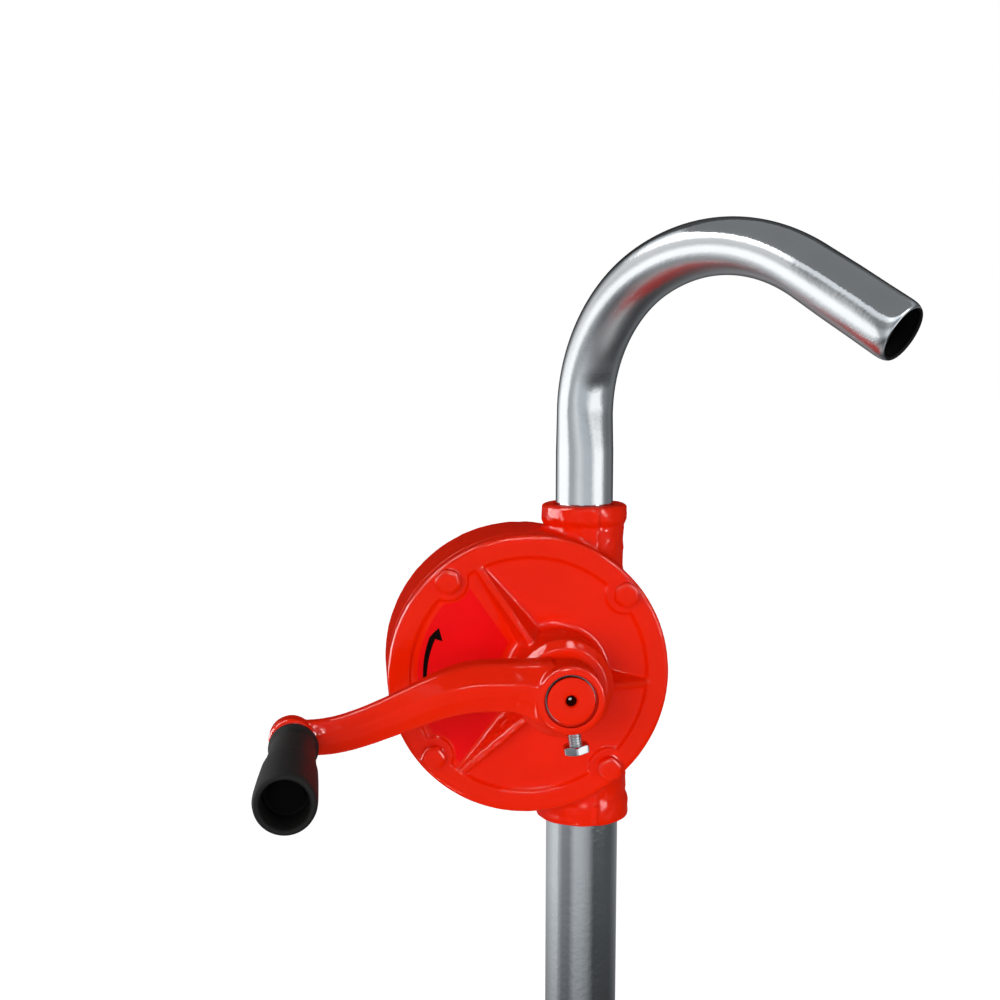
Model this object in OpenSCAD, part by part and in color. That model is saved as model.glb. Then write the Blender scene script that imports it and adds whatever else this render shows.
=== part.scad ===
// Rotary hand transfer pump for a drum: an eccentric vane pump head with a swan-neck crank,
// a bent discharge spout, a three-piece suction tube, a sliding bung adapter and a foot strainer.
// Millimetres, +Z up, cover facing -Y. The origin is on the suction tube's axis, inside the
// bung thread. The crank is drawn pointing left, a little below the horizontal.

/* [Head] */
// Height of the cover's centre above the bung thread
head_z = 365; // [360:1:372]
// Radius of the casing and of the front cover
cover_r = 60; // [60:0.5:62]
// Depth of the head from the cover's rim to the rear wall
head_depth = 50; // [49:0.5:54]
// Distance of the ports to the right of the cover's centre
port_x = 27; // [26:0.5:28]
// Distance of the ports behind the cover's rim
port_y = 28; // [27:0.5:29]
// Height of each port face from the cover's centre
port_face = 70; // [69:0.5:74]
// Distance of the shaft to the right of the cover's centre
shaft_off = 11.5; // [11:0.5:12]
// Turn of the bolts and ribs about the cover's centre
cover_turn = -5; // [-8:1:0]

/* [Cover] */
// Thickness of the cover at its rim
cover_t = 8; // [7:0.5:9]
// Radius of the recessed field inside the rim
field_r = 51; // [50:0.5:52]
// Depth of the recessed field
field_depth = 1.5; // [1.25:0.25:2]
// Radius of the shaft boss
boss_r = 20.5; // [20:0.25:21]
// Height of the shaft boss above the rim
boss_h = 28; // [26:0.5:28]
// Height of a rib where it meets the boss
rib_h = 17; // [12:0.5:20]
// Radius of the bolt circle
bolt_circle = 53.5; // [53:0.25:54]

/* [Pumping parts] */
// Radius of the pumping chamber
chamber_r = 45; // [44:0.25:45]
// Eccentricity of the rotor in the chamber
rotor_ecc = 8; // [8:0.25:9]
// Depth of the chamber from the cover's rim
chamber_depth = 42; // [41:0.5:42]
// Radius of the shaft
shaft_r = 10; // [9.5:0.1:10]
// Thickness of a vane
vane_t = 5; // [4:0.5:5]

/* [Crank] */
// Distance from the shaft to the grip's axis
crank_r = 110; // [105:1:115]
// Angle of the crank at rest, counter-clockwise from +X as seen from the front
crank_angle = 188.3; // [184:0.1:192]
// Radius of the crank's hub
hub_r = 14; // [13.5:0.25:14.5]
// Distance of the hub's face in front of the cover's rim
hub_face = 46.4; // [45:0.2:47]
// Length of the grip
grip_len = 73; // [68:1:78]

/* [Tubes] */
// Outer radius of the suction tube
suction_r = 16; // [15.5:0.1:16]
// Outer radius of the spout
spout_r = 12.5; // [12:0.1:12.5]
// Wall of every tube
tube_wall = 1.5; // [1.2:0.1:1.8]
// Height above the cover's centre at which the spout's bend starts
spout_bend_z = 108.5; // [104:0.5:112]
// Radius of the spout's bend above the head
spout_bend = 67; // [64:1:70]
// Angle through which the spout is bent above the head
spout_sweep = 63.6; // [60:0.4:66]
// Radius of the spout's wider bend towards its mouth
mouth_bend = 86; // [82:1:90]
// Angle through which the spout is bent towards its mouth
mouth_sweep = 55.8; // [52:0.4:58]
// Straight length at the spout's mouth
spout_tail = 47; // [40:1:50]
// Swing of the spout from +X towards the front
spout_swing = 53.7; // [40:0.1:60]
// Length of a belled socket
bell_len = 28; // [26:1:30]
// Height of the middle tube's upper end
middle_top = -16.5; // [-18:0.5:-16.5]
// Height of the lower tube's upper end
lower_top = -341; // [-345:1:-337]
// Height of the lower tube's end
lower_end = -698; // [-702:1:-690]

/* [Bung adapter] */
// Radius of the bung thread over its crests
thread_r = 29.8; // [29.5:0.1:30]
// Height of the ears above the origin
ear_top = 14; // [12:0.5:16]

/* [Hidden] */
$fn = 96;

paint_red = [0.86, 0.13, 0.05];
plated = [0.80, 0.81, 0.83];
steel = [0.62, 0.63, 0.65];
bronze = [0.72, 0.52, 0.28];
black_rubber = [0.10, 0.10, 0.10];
grip_black = [0.08, 0.08, 0.08];
adapter_red = [0.80, 0.11, 0.04];
strainer_red = [0.36, 0.04, 0.07];
paper = [0.45, 0.40, 0.32];

press_gap = 0.02;
fit_gap = 0.05;
loose_gap = 0.1;
run_gap = 0.3;
over = 1;

gasket_t = 0.8;
gasket_inset = 0.5;
cover_edge = 1.6;
casing_edge = 3;
boss_fillet = 3;
boss_chamfer = 3.2;
boss_root = 4;
field_slope = 1;
rib_crest = 1.3;
rib_foot = 7.6;
rib_depth = 24;
rib_tip_drop = 0.3;
bolt_boss_r = 8.5;
bolt_r = 3;
bolt_len = 22;
bolt_head_af = 10;
bolt_head_h = 4.2;
bolt_angles = [for (k = [0:3]) 45 + cover_turn + 90 * k];
rib_angles = [for (k = [0:2]) cover_turn + 120 * k];

bush_r = 13;
bush_inset = 0.5;
front_bush_end = 14;
seal_r = 12.6;
seal_seat = 20.3;
seal_t = 7;
lip_t = 1.2;
lip_from = 2;
lip_to = 3;
rear_boss_r = 19;
rear_boss_foot = 2;
rear_boss_edge = 1;
rear_boss_end = head_depth + 10;
rear_bush_end = head_depth + 6;
shaft_end = hub_face - 0.2;
centre_drill_r = 3.2;
pilot_r = 1.2;
pilot_len = 3;
centre_angle = 60;
centre_depth = (centre_drill_r - pilot_r) / tan(centre_angle / 2);

outlet_neck_r = 17.2;
outlet_collar_r = 18.6;
inlet_neck_r = 19.2;
inlet_collar_r = 20.6;
collar_h = 8.5;
collar_slope = 2.5;
collar_edge = 0.8;
socket_depth = 16;
port_gasket_t = 1.5;
passage_from = chamber_r * 0.6;
outlet_bore = 9.5;
inlet_bore = 13;

chamber_off = shaft_off - rotor_ecc;
rotor_r = chamber_r - rotor_ecc - run_gap;
rotor_front = -cover_t - run_gap;
rotor_back = -chamber_depth + run_gap;
rotor_len = rotor_front - rotor_back;
vane_count = 4;
vane_inset = 0.2;
slot_root = 12;
vane_root = 14;
vane_tip = rotor_r - vane_inset;
vane_step = 360 / vane_count;
vane_angle = crank_angle + vane_step / 2;
spring_r = 2;
spring_hole = 1.3;
spring_pocket = 14;
spring_end = 26;
key_w = 6;
key_root = 6.5;
key_top = 12.4;
key_len = 26;
key_back = rotor_back + 3;

eye = crank_r * [cos(crank_angle), sin(crank_angle)];
eye_r = 8.4;
eye_back = 37.5;
eye_face = 46;
hub_back = boss_h + 0.7;
arm_face = 44;
arm_root = 6;
arm_steps = 36;
arm_lift = 4.7;
arm_bend_start = 34;
arm_bend_end = 106;
arm_half_root = 9.6;
arm_half_end = 5.9;
arm_taper_start = 20;
arm_thin_start = 36;
arm_thin_end = 70;
hub_edge = 0.8;
hub_relief = 2.6;
shaft_step = 0.5;
screw_r = 3;
screw_head_from = 19.9;
screw_head_to = 23.4;
screw_turn = crank_angle + 90;
screw_level = 38;
spindle_r = 4;
spindle_head_r = 6.5;
grip_base = eye_face + 0.6;
grip_end = grip_base + grip_len;
grip_bore = spindle_r + 0.08;
grip_flange_r = 9.8;
grip_flange_t = 3.2;
grip_neck_r = 8.6;
grip_step_r = 10.2;
grip_step = 36;
grip_end_r = 11.4;
grip_edge = 2;
grip_recess = 15.6;
grip_recess_r = 8.5;
head_gap = 0.6;
spindle_head_t = 4;
spindle_end = grip_end - grip_recess + head_gap + spindle_head_t;
nut_af = 13;
nut_t = 6;
nut_thread = 1.5;

spout_start = port_face - socket_depth;
spout_lap = 0.5;
bell_r = suction_r + tube_wall + 0.1;
bell_slope = 4;
upper_top = head_z - port_face + socket_depth;
plug_len = 24;

adapter_bore = suction_r + run_gap;
adapter_body_r = 21.5;
adapter_low = -15;
thread_low = -13;
thread_high = 2;
thread_edge = 1.2;
collar_floor = 6;
ear_in_r = 18.3;
ear_foot_r = 21.9;
ear_tip_r = 20.9;
saddle_r = 17;
saddle_z = ear_top + 9.5;
pocket_wall = 3.6;
pocket_top = thread_high - 4;
web_count = 6;
web_t = 2.5;
seal_low = -6;
seal_high = -2;
seal_groove_r = 18.8;

cup_r = 18.6;
cup_rim = lower_end + 5;
cup_floor = lower_end - 1.2;
cup_base = cup_floor - 3.8;
tooth_end = cup_base - 8;
prong_top = lower_end + 19;
tooth_count = 6;
tooth_wall = 3.2;
tooth_half = 9;
prong_t = 2;
prong_w = 8;
prong_grip_r = suction_r + 0.25;
drain_r = 3;
drain_circle = 10;
drain_step = 45;
centre_drain_r = 4.5;
screen_rows = 4;
screen_pitch = 3.3;
screen_hole_r = 1.1;

function mix(a, b, s) = a + (b - a) * s;
function ease(u, from, to) = let (t = min(1, max(0, (u - from) / (to - from)))) t * t * (3 - 2 * t);
function arm_u(i) = mix(arm_root, -eye.x, i / arm_steps);
function arm_mid(u) = mix(arm_lift, eye.y, ease(u, arm_bend_start, arm_bend_end));
function arm_half(u) = mix(arm_half_root, arm_half_end, ease(u, arm_taper_start, crank_r));
function arm_back(u) = mix(hub_back, eye_back, ease(u, arm_thin_start, arm_thin_end));

// Frames: the head's own axes, then the head seen from the front with Z towards the viewer
module at_head() translate([-port_x, -port_y, head_z]) children();
module facing() rotate([90, 0, 0]) children();
module at_cover() at_head() facing() children();
module at_shaft() at_cover() translate([shaft_off, 0, 0]) children();
module at_ports() translate([0, 0, head_z]) children();
module at_vane(k) at_shaft() rotate(vane_angle + vane_step * k) children();

module disc(r, z0, z1) translate([0, 0, z0]) cylinder(r = r, h = z1 - z0);
module ring(r_out, r_in, z0, z1)
    translate([0, 0, z0])
        linear_extrude(z1 - z0)
            difference() {
                circle(r_out);
                circle(r_in);
            }
module hex(af, z0, z1) translate([0, 0, z0]) cylinder(d = af / cos(30), h = z1 - z0, $fn = 6);
module at_bolts() for (a = bolt_angles) rotate(a) translate([bolt_circle, 0, 0]) children();

// Square corner taken off a profile, leaving a quarter round of radius r
module corner(r)
    difference() {
        square(r + over);
        circle(r);
    }

// Rib from the boss to the rim: a narrow crest that falls towards the rim, and sloping flanks
module rib(length) {
    run = length - boss_r + boss_chamfer;
    fall = atan2(rib_h + rib_tip_drop, run);
    intersection() {
        translate([boss_r - boss_chamfer, 0, rib_h])
            rotate([0, fall, 0])
                rotate([90, 0, 90])
                    linear_extrude(2 * length, center = true)
                        polygon([
                            [-rib_crest, 0], [-rib_foot, -rib_depth],
                            [rib_foot, -rib_depth], [rib_crest, 0]
                        ]);
        translate([boss_r - boss_chamfer, -boss_r, -boss_root])
            cube([run, 2 * boss_r, rib_h + boss_root]);
    }
}

module cover_plate()
    difference() {
        rotate_extrude()
            difference() {
                translate([0, -cover_t]) square([cover_r, cover_t]);
                translate([cover_r - cover_edge, -cover_edge]) corner(cover_edge);
            }
        difference() {
            rotate_extrude()
                polygon([
                    [0, -field_depth], [field_r - field_slope, -field_depth],
                    [field_r, 0], [field_r, over], [0, over]
                ]);
            at_bolts() disc(bolt_boss_r, -cover_t, 2 * over);
        }
    }

module cover_boss()
    rotate_extrude() {
        polygon([
            [0, -boss_root], [boss_r, -boss_root], [boss_r, boss_h - boss_chamfer],
            [boss_r - boss_chamfer, boss_h], [0, boss_h]
        ]);
        difference() {
            translate([boss_r - over, -boss_root])
                square([boss_fillet + over, boss_root - field_depth + boss_fillet]);
            translate([boss_r + boss_fillet, boss_fillet - field_depth]) circle(boss_fillet);
        }
    }

module front_cover()
    color(paint_red)
        at_cover()
            difference() {
                union() {
                    cover_plate();
                    translate([shaft_off, 0, 0]) {
                        cover_boss();
                        for (a = rib_angles) {
                            tip = field_r * [cos(a), sin(a)] - [shaft_off, 0];
                            rotate(atan2(tip.y, tip.x)) rib(norm(tip) + over);
                        }
                    }
                }
                translate([shaft_off, 0, 0]) {
                    disc(bush_r, -cover_t - over, front_bush_end);
                    disc(shaft_r + over, front_bush_end - over, seal_seat + over);
                    disc(seal_r, seal_seat, boss_h + over);
                }
                at_bolts() disc(bolt_r + run_gap, -cover_t - over, over);
            }

module neck(neck_r, collar_r)
    rotate_extrude()
        polygon([
            [0, 0], [neck_r, 0], [neck_r, port_face - collar_h - collar_slope],
            [collar_r, port_face - collar_h], [collar_r, port_face - collar_edge],
            [collar_r - collar_edge, port_face], [0, port_face]
        ]);

module port_passage(tube_r, bore_r) {
    disc(tube_r + loose_gap, spout_start - port_gasket_t, port_face + over);
    disc(bore_r, passage_from, port_face);
}

module pump_casing()
    color(paint_red)
        difference() {
            union() {
                at_cover() {
                    rotate_extrude()
                        difference() {
                            translate([0, -head_depth]) square([cover_r, head_depth - cover_t - gasket_t]);
                            translate([cover_r - casing_edge, casing_edge - head_depth])
                                mirror([0, 1]) corner(casing_edge);
                        }
                    translate([shaft_off, 0, 0])
                        rotate_extrude()
                            polygon([
                                [0, -head_depth + over],
                                [rear_boss_r + rear_boss_foot, -head_depth + over],
                                [rear_boss_r + rear_boss_foot, -head_depth],
                                [rear_boss_r, -head_depth - rear_boss_foot],
                                [rear_boss_r, rear_boss_edge - rear_boss_end],
                                [rear_boss_r - rear_boss_edge, -rear_boss_end],
                                [0, -rear_boss_end]
                            ]);
                }
                at_ports() {
                    neck(outlet_neck_r, outlet_collar_r);
                    mirror([0, 0, 1]) neck(inlet_neck_r, inlet_collar_r);
                }
            }
            at_cover() {
                translate([chamber_off, 0, 0]) disc(chamber_r, -chamber_depth, 0);
                translate([shaft_off, 0, 0]) disc(bush_r, -rear_bush_end, -chamber_depth + over);
                at_bolts() disc(bolt_r, -bolt_len - 2, 0);
            }
            at_ports() {
                port_passage(spout_r, outlet_bore);
                mirror([0, 0, 1]) port_passage(suction_r, inlet_bore);
            }
        }

module cover_gasket()
    color(paper)
        at_cover()
            difference() {
                disc(cover_r - gasket_inset, -cover_t - gasket_t, -cover_t);
                translate([chamber_off, 0, 0]) disc(chamber_r + gasket_inset, -head_depth, 0);
                at_bolts() disc(bolt_r + run_gap, -head_depth, 0);
            }

module cover_bolts()
    color(paint_red)
        at_cover()
            at_bolts() {
                disc(bolt_r - loose_gap, -bolt_len, over);
                hex(bolt_head_af, 0, bolt_head_h);
            }

module bush(z0, z1) color(bronze) at_shaft() ring(bush_r - press_gap, shaft_r + fit_gap, z0, z1);

module front_bush() bush(bush_inset - cover_t, front_bush_end - loose_gap);

module rear_bush() bush(bush_inset - rear_bush_end, -chamber_depth - vane_inset);

module shaft_seal()
    color(black_rubber)
        at_shaft()
            rotate_extrude()
                polygon([
                    [shaft_r + fit_gap, seal_seat + lip_from], [shaft_r + lip_t, seal_seat + loose_gap],
                    [seal_r - fit_gap, seal_seat + loose_gap], [seal_r - fit_gap, seal_seat + seal_t],
                    [shaft_r + lip_t, seal_seat + seal_t], [shaft_r + fit_gap, seal_seat + lip_to]
                ]);

module outlet_gasket()
    color(black_rubber) at_ports() ring(spout_r, outlet_bore, spout_start - port_gasket_t, spout_start);

module inlet_gasket()
    color(black_rubber)
        at_ports() mirror([0, 0, 1]) ring(suction_r, inlet_bore, spout_start - port_gasket_t, spout_start);

module spout_section(swell)
    difference() {
        circle(spout_r + swell);
        circle(spout_r - tube_wall - swell);
    }

// Each bend runs on a little inside the length after it, which is a hair thicker,
// so that they join cleanly
module discharge_spout()
    color(plated)
        at_ports()
            rotate(-spout_swing) {
                ring(spout_r, spout_r - tube_wall, spout_start, spout_bend_z);
                translate([spout_bend, 0, spout_bend_z])
                    rotate([90, 0, 180]) {
                        rotate_extrude(angle = spout_sweep + spout_lap)
                            translate([spout_bend, 0]) spout_section(0);
                        rotate(spout_sweep)
                            translate([spout_bend - mouth_bend, 0, 0]) {
                                rotate_extrude(angle = mouth_sweep + spout_lap)
                                    translate([mouth_bend, 0]) spout_section(press_gap);
                                rotate(mouth_sweep)
                                    translate([mouth_bend, 0, 0])
                                        rotate([-90, 0, 0])
                                            linear_extrude(spout_tail) spout_section(2 * press_gap);
                            }
                    }
            }

module upper_suction_tube()
    color(plated) ring(suction_r, suction_r - tube_wall, middle_top - plug_len, upper_top);

// Tube with a belled socket at its top that takes the tube above
module belled_tube(top, end)
    rotate_extrude()
        polygon([
            [bell_r - tube_wall, top], [bell_r, top], [bell_r, top - bell_len],
            [suction_r, top - bell_len - bell_slope], [suction_r, end], [suction_r - tube_wall, end],
            [suction_r - tube_wall, top - bell_len - bell_slope], [bell_r - tube_wall, top - bell_len]
        ]);

module middle_suction_tube() color(plated) belled_tube(middle_top, lower_top - plug_len);

module lower_suction_tube() color(plated) belled_tube(lower_top, lower_end);

module strainer_teeth()
    difference() {
        ring(cup_r, cup_r - tooth_wall, tooth_end, cup_base + over);
        for (k = [0:tooth_count - 1])
            rotate(360 / tooth_count * (k + 0.5))
                rotate([90, 0, 90])
                    linear_extrude(2 * cup_r)
                        polygon([
                            [-tooth_half, tooth_end - over], [0, cup_base], [tooth_half, tooth_end - over]
                        ]);
    }

module strainer_prong()
    intersection() {
        rotate_extrude()
            polygon([
                [cup_r - prong_t / 2, cup_base], [cup_r + prong_t / 3, cup_base],
                [cup_r + prong_t, cup_rim],
                [cup_r + prong_t, prong_top - prong_t], [cup_r + prong_t / 2, prong_top],
                [prong_grip_r, prong_top - prong_t], [prong_grip_r, prong_top - 2 * prong_t],
                [cup_r, prong_top - 3 * prong_t], [cup_r, cup_rim], [cup_r - prong_t / 2, cup_rim - prong_t]
            ]);
        translate([0, -prong_w / 2, cup_base]) cube([2 * cup_r, prong_w, prong_top - cup_base]);
    }

module foot_strainer()
    color(strainer_red) {
        difference() {
            union() {
                disc(cup_r, cup_base, cup_rim);
                strainer_teeth();
            }
            disc(suction_r + loose_gap, cup_floor, cup_rim + over);
            disc(centre_drain_r, tooth_end, cup_rim);
            for (a = [0:drain_step:359])
                rotate(a) translate([drain_circle, 0, 0]) disc(drain_r, tooth_end, cup_rim);
        }
        strainer_prong();
        mirror([1, 0, 0]) strainer_prong();
    }

module strainer_screen()
    color(steel)
        difference() {
            disc(suction_r - loose_gap, cup_floor + loose_gap, lower_end - loose_gap);
            for (row = [1:screen_rows])
                for (k = [0:6 * row - 1])
                    rotate(60 / row * k)
                        translate([screen_pitch * row, 0, 0]) disc(screen_hole_r, cup_floor, lower_end);
        }

module at_key() rotate(crank_angle) translate([key_root, -key_w / 2, key_back]) children();

module rotor_shaft()
    color(steel)
        at_shaft()
            difference() {
                union() {
                    disc(shaft_r, bush_inset + over - rear_bush_end, hub_face - hub_relief);
                    disc(shaft_r - shaft_step, 0, shaft_end);
                }
                translate([0, 0, shaft_end - centre_depth])
                    cylinder(r1 = pilot_r, r2 = centre_drill_r, h = centre_depth);
                disc(pilot_r, shaft_end - centre_depth - pilot_len, shaft_end + over);
                at_key() cube([shaft_r, key_w, key_len]);
            }

module rotor_key() color(steel) at_shaft() at_key() cube([key_top - key_root, key_w, key_len]);

module rotor()
    color(steel)
        at_shaft()
            difference() {
                disc(rotor_r, rotor_back, rotor_front);
                disc(shaft_r + press_gap, rotor_back - over, rotor_front + over);
                rotate(crank_angle)
                    translate([0, -key_w / 2 - fit_gap, rotor_back - over])
                        cube([key_top + loose_gap, key_w + 2 * fit_gap, rotor_len + 2 * over]);
                for (k = [0:vane_count - 1])
                    rotate(vane_angle + vane_step * k)
                        translate([slot_root, -vane_t / 2 - fit_gap, rotor_back - over])
                            cube([rotor_r, vane_t + 2 * fit_gap, rotor_len + 2 * over]);
            }

module at_springs()
    for (s = [0.25, 0.75])
        translate([0, 0, mix(rotor_back, rotor_front, s)]) rotate([0, 90, 0]) children();

module vane_springs()
    color(steel)
        for (k = [0:vane_count - 1])
            at_vane(k) at_springs() ring(spring_r, spring_hole, slot_root + fit_gap, spring_end);

module vane(k)
    color(bronze)
        at_vane(k)
            difference() {
                translate([0, 0, rotor_back + vane_inset])
                    linear_extrude(rotor_len - 2 * vane_inset) {
                        translate([vane_root, -vane_t / 2])
                            square([vane_tip - vane_t / 2 - vane_root, vane_t]);
                        translate([vane_tip - vane_t / 2, 0]) circle(vane_t / 2);
                    }
                at_springs() disc(spring_r + vane_inset, vane_root - over, vane_root + spring_pocket);
            }

module vane_1() vane(0);
module vane_2() vane(1);
module vane_3() vane(2);
module vane_4() vane(3);

module arm_plan()
    polygon(concat(
        [for (i = [0:arm_steps]) let (u = arm_u(i)) [-u, arm_mid(u) + arm_half(u)]],
        [for (i = [arm_steps:-1:0]) let (u = arm_u(i)) [-u, arm_mid(u) - arm_half(u)]]
    ));

module arm_side()
    polygon(concat(
        [[-arm_root, arm_face], [eye.x, arm_face]],
        [for (i = [arm_steps:-1:0]) let (u = arm_u(i)) [-u, arm_back(u)]]
    ));

module crank_arm()
    color(paint_red)
        at_shaft()
            difference() {
                union() {
                    disc(hub_r, hub_back, hub_face);
                    intersection() {
                        linear_extrude(hub_face) arm_plan();
                        rotate([90, 0, 0]) linear_extrude(4 * hub_r, center = true) arm_side();
                    }
                    translate(eye) disc(eye_r, eye_back, eye_face);
                }
                disc(shaft_r + press_gap, hub_back - over, hub_face + over);
                disc(shaft_r + hub_edge, hub_face - hub_relief, hub_face + over);
                translate(eye) disc(spindle_r + press_gap, eye_back - over, eye_face + over);
                rotate(screw_turn)
                    translate([0, 0, screw_level])
                        rotate([0, 90, 0]) disc(screw_r, 0, hub_r + over);
            }

module crank_set_screw()
    color(plated)
        at_shaft()
            rotate(screw_turn)
                translate([0, 0, screw_level])
                    rotate([0, 90, 0]) {
                        disc(screw_r - fit_gap, shaft_r + fit_gap, screw_head_from + over);
                        hex(bolt_head_af, screw_head_from, screw_head_to);
                    }

module grip_spindle()
    color(steel)
        at_shaft()
            translate(eye) {
                disc(spindle_r, eye_back - nut_t - nut_thread, spindle_end);
                disc(spindle_head_r, spindle_end - spindle_head_t, spindle_end);
            }

module grip_nut()
    color(steel)
        at_shaft()
            translate(eye)
                difference() {
                    hex(nut_af, eye_back - nut_t, eye_back - loose_gap);
                    disc(spindle_r + press_gap, 0, eye_back);
                }

module grip()
    color(grip_black)
        at_shaft()
            translate([eye.x, eye.y, grip_base])
                rotate_extrude()
                    difference() {
                        polygon([
                            [grip_bore, 0], [grip_flange_r, 0], [grip_flange_r, grip_flange_t],
                            [grip_neck_r, 2 * grip_flange_t], [grip_step_r, grip_step],
                            [grip_step_r + run_gap, grip_step + over],
                            [grip_end_r, grip_len - grip_edge], [grip_end_r, grip_len],
                            [grip_recess_r, grip_len], [grip_recess_r, grip_len - grip_recess],
                            [grip_bore, grip_len - grip_recess]
                        ]);
                        translate([grip_end_r - grip_edge, grip_len - grip_edge]) corner(grip_edge);
                    }

module bung_adapter()
    color(adapter_red)
        difference() {
            rotate_extrude()
                polygon([
                    [adapter_bore, adapter_low], [adapter_body_r, adapter_low],
                    [adapter_body_r, thread_low], [thread_r - thread_edge, thread_low],
                    [thread_r, thread_low + thread_edge], [thread_r, thread_high - thread_edge],
                    [thread_r - thread_edge, thread_high], [ear_foot_r, thread_high],
                    [ear_tip_r, ear_top], [ear_in_r, ear_top], [ear_in_r, collar_floor],
                    [adapter_bore, collar_floor]
                ]);
            translate([0, 0, saddle_z])
                rotate([90, 0, 0]) cylinder(r = saddle_r, h = 4 * thread_r, center = true);
            difference() {
                ring(thread_r - pocket_wall, adapter_body_r + over, thread_low - over, pocket_top);
                for (k = [0:web_count - 1])
                    rotate(360 / web_count * k)
                        translate([0, -web_t / 2, 2 * thread_low]) cube([thread_r, web_t, -2 * thread_low]);
            }
            disc(seal_groove_r, seal_low, seal_high);
        }

module bung_seal_ring()
    color(black_rubber)
        ring(seal_groove_r - loose_gap, suction_r + fit_gap, seal_low + loose_gap, seal_high - loose_gap);

pump_casing();
front_cover();
cover_gasket();
cover_bolts();
front_bush();
rear_bush();
shaft_seal();
outlet_gasket();
inlet_gasket();
discharge_spout();
upper_suction_tube();
middle_suction_tube();
lower_suction_tube();
foot_strainer();
strainer_screen();
rotor_shaft();
rotor();
rotor_key();
vane_springs();
vane_1();
vane_2();
vane_3();
vane_4();
crank_arm();
crank_set_screw();
grip_spindle();
grip_nut();
grip();
bung_adapter();
bung_seal_ring();
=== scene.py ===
# %% [markdown]
# # A rotary hand pump for drums
# The pump is a red cast head with a crank, a bent plated spout above it and a long plated
# tube below it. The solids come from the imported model, which is the fixed frame of this
# scene: every piece made here lies on one of its bodies and moves with it.

# %% Load the frame
import math

import bmesh
import bpy
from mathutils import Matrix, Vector


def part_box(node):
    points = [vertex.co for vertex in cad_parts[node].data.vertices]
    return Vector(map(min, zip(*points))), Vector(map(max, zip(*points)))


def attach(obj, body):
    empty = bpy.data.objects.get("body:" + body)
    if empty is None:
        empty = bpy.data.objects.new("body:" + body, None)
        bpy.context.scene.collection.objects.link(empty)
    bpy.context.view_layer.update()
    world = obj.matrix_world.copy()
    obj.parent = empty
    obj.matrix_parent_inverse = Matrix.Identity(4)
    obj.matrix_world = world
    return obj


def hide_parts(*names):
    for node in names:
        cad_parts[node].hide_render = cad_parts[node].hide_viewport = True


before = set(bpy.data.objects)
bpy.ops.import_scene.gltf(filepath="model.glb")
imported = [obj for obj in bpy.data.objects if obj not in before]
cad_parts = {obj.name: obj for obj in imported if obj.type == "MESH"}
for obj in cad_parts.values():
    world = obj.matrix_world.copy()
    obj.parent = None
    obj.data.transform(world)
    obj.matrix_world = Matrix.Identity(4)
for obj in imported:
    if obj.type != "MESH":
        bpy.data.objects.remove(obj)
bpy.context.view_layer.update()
scene = bpy.context.scene
scene.view_settings.view_transform = "Standard"

# %% [markdown]
# The solids are drawn in millimetres and Blender works in metres, so one factor is kept.
# The head has its own axes: X to the right, Y up and Z towards the viewer, from the centre
# of the cover's rim, or from the shaft for the pieces that turn with it. A piece modelled
# flat on the table in those axes is stood up by a quarter turn about X, and then its place
# is applied to its mesh. An operator works on what is selected, so every step chooses its
# piece first, or picks the points, edges or faces that lie in a certain place.

# %% Places, and helpers that select
MM = 0.001
SAME_PLACE = 0.001 * MM
HEAD_HEIGHT = 365
COVER_CENTRE = Vector((-27, -28, HEAD_HEIGHT)) * MM
SHAFT_CENTRE = Vector((-15.5, -28, HEAD_HEIGHT)) * MM
CRANK_ANGLE, CRANK_REACH = math.radians(188.3), 110
GRIP_X, GRIP_Y = CRANK_REACH * math.cos(CRANK_ANGLE), CRANK_REACH * math.sin(CRANK_ANGLE)


def clear_selection():
    """Back to object mode with nothing selected."""
    if bpy.context.mode != "OBJECT":
        bpy.ops.object.mode_set(mode="OBJECT")
    bpy.ops.object.select_all(action="DESELECT")


def choose(piece):
    """Makes one piece the only selected and active one."""
    clear_selection()
    piece.select_set(True)
    bpy.context.view_layer.objects.active = piece


def edit_whole(piece):
    """Opens one piece in edit mode with all its points selected."""
    choose(piece)
    bpy.ops.object.mode_set(mode="EDIT")
    bpy.ops.mesh.select_mode(type="VERT")
    bpy.ops.mesh.select_all(action="SELECT")


def pick(kind, wanted):
    """Selects, in edit mode, the vertices, edges or faces whose centre answers to wanted."""
    bpy.ops.mesh.select_mode(type=kind)
    bpy.ops.mesh.select_all(action="DESELECT")
    shell = bpy.context.edit_object
    mesh = bmesh.from_edit_mesh(shell.data)
    parts = {"VERT": mesh.verts, "EDGE": mesh.edges, "FACE": mesh.faces}[kind]
    for part in parts:
        points = [part.co] if kind == "VERT" else [corner.co for corner in part.verts]
        centre = shell.matrix_world @ (sum(points, Vector()) / len(points))
        part.select_set(bool(wanted(centre / MM)))
    bmesh.update_edit_mesh(shell.data)


def settle(piece, name, place=(0, 0, 0), facing=False):
    """Names a piece, stands it up in the head's axes if asked, and applies its place."""
    choose(piece)
    piece.name = piece.data.name = name
    piece.location = Vector(piece.location) + Vector(place)
    if facing:
        piece.rotation_euler = (math.radians(90), 0, 0)
    bpy.ops.object.transform_apply(location=True, rotation=True, scale=True)
    return piece


print("cover's centre, in metres:", [round(x, 4) for x in COVER_CENTRE])

# %% [markdown]
# Much of this pump is round. A round piece starts as a circle that is drawn from station to
# station, as a lathe's tool follows a bar, and a hole is what a turned cutter takes out of a
# piece. Modifiers do what a file, a drill or a weld does on the bench, and each is applied at
# once, so the mesh is always what is seen.

# %% Helpers that shape and dress


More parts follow.
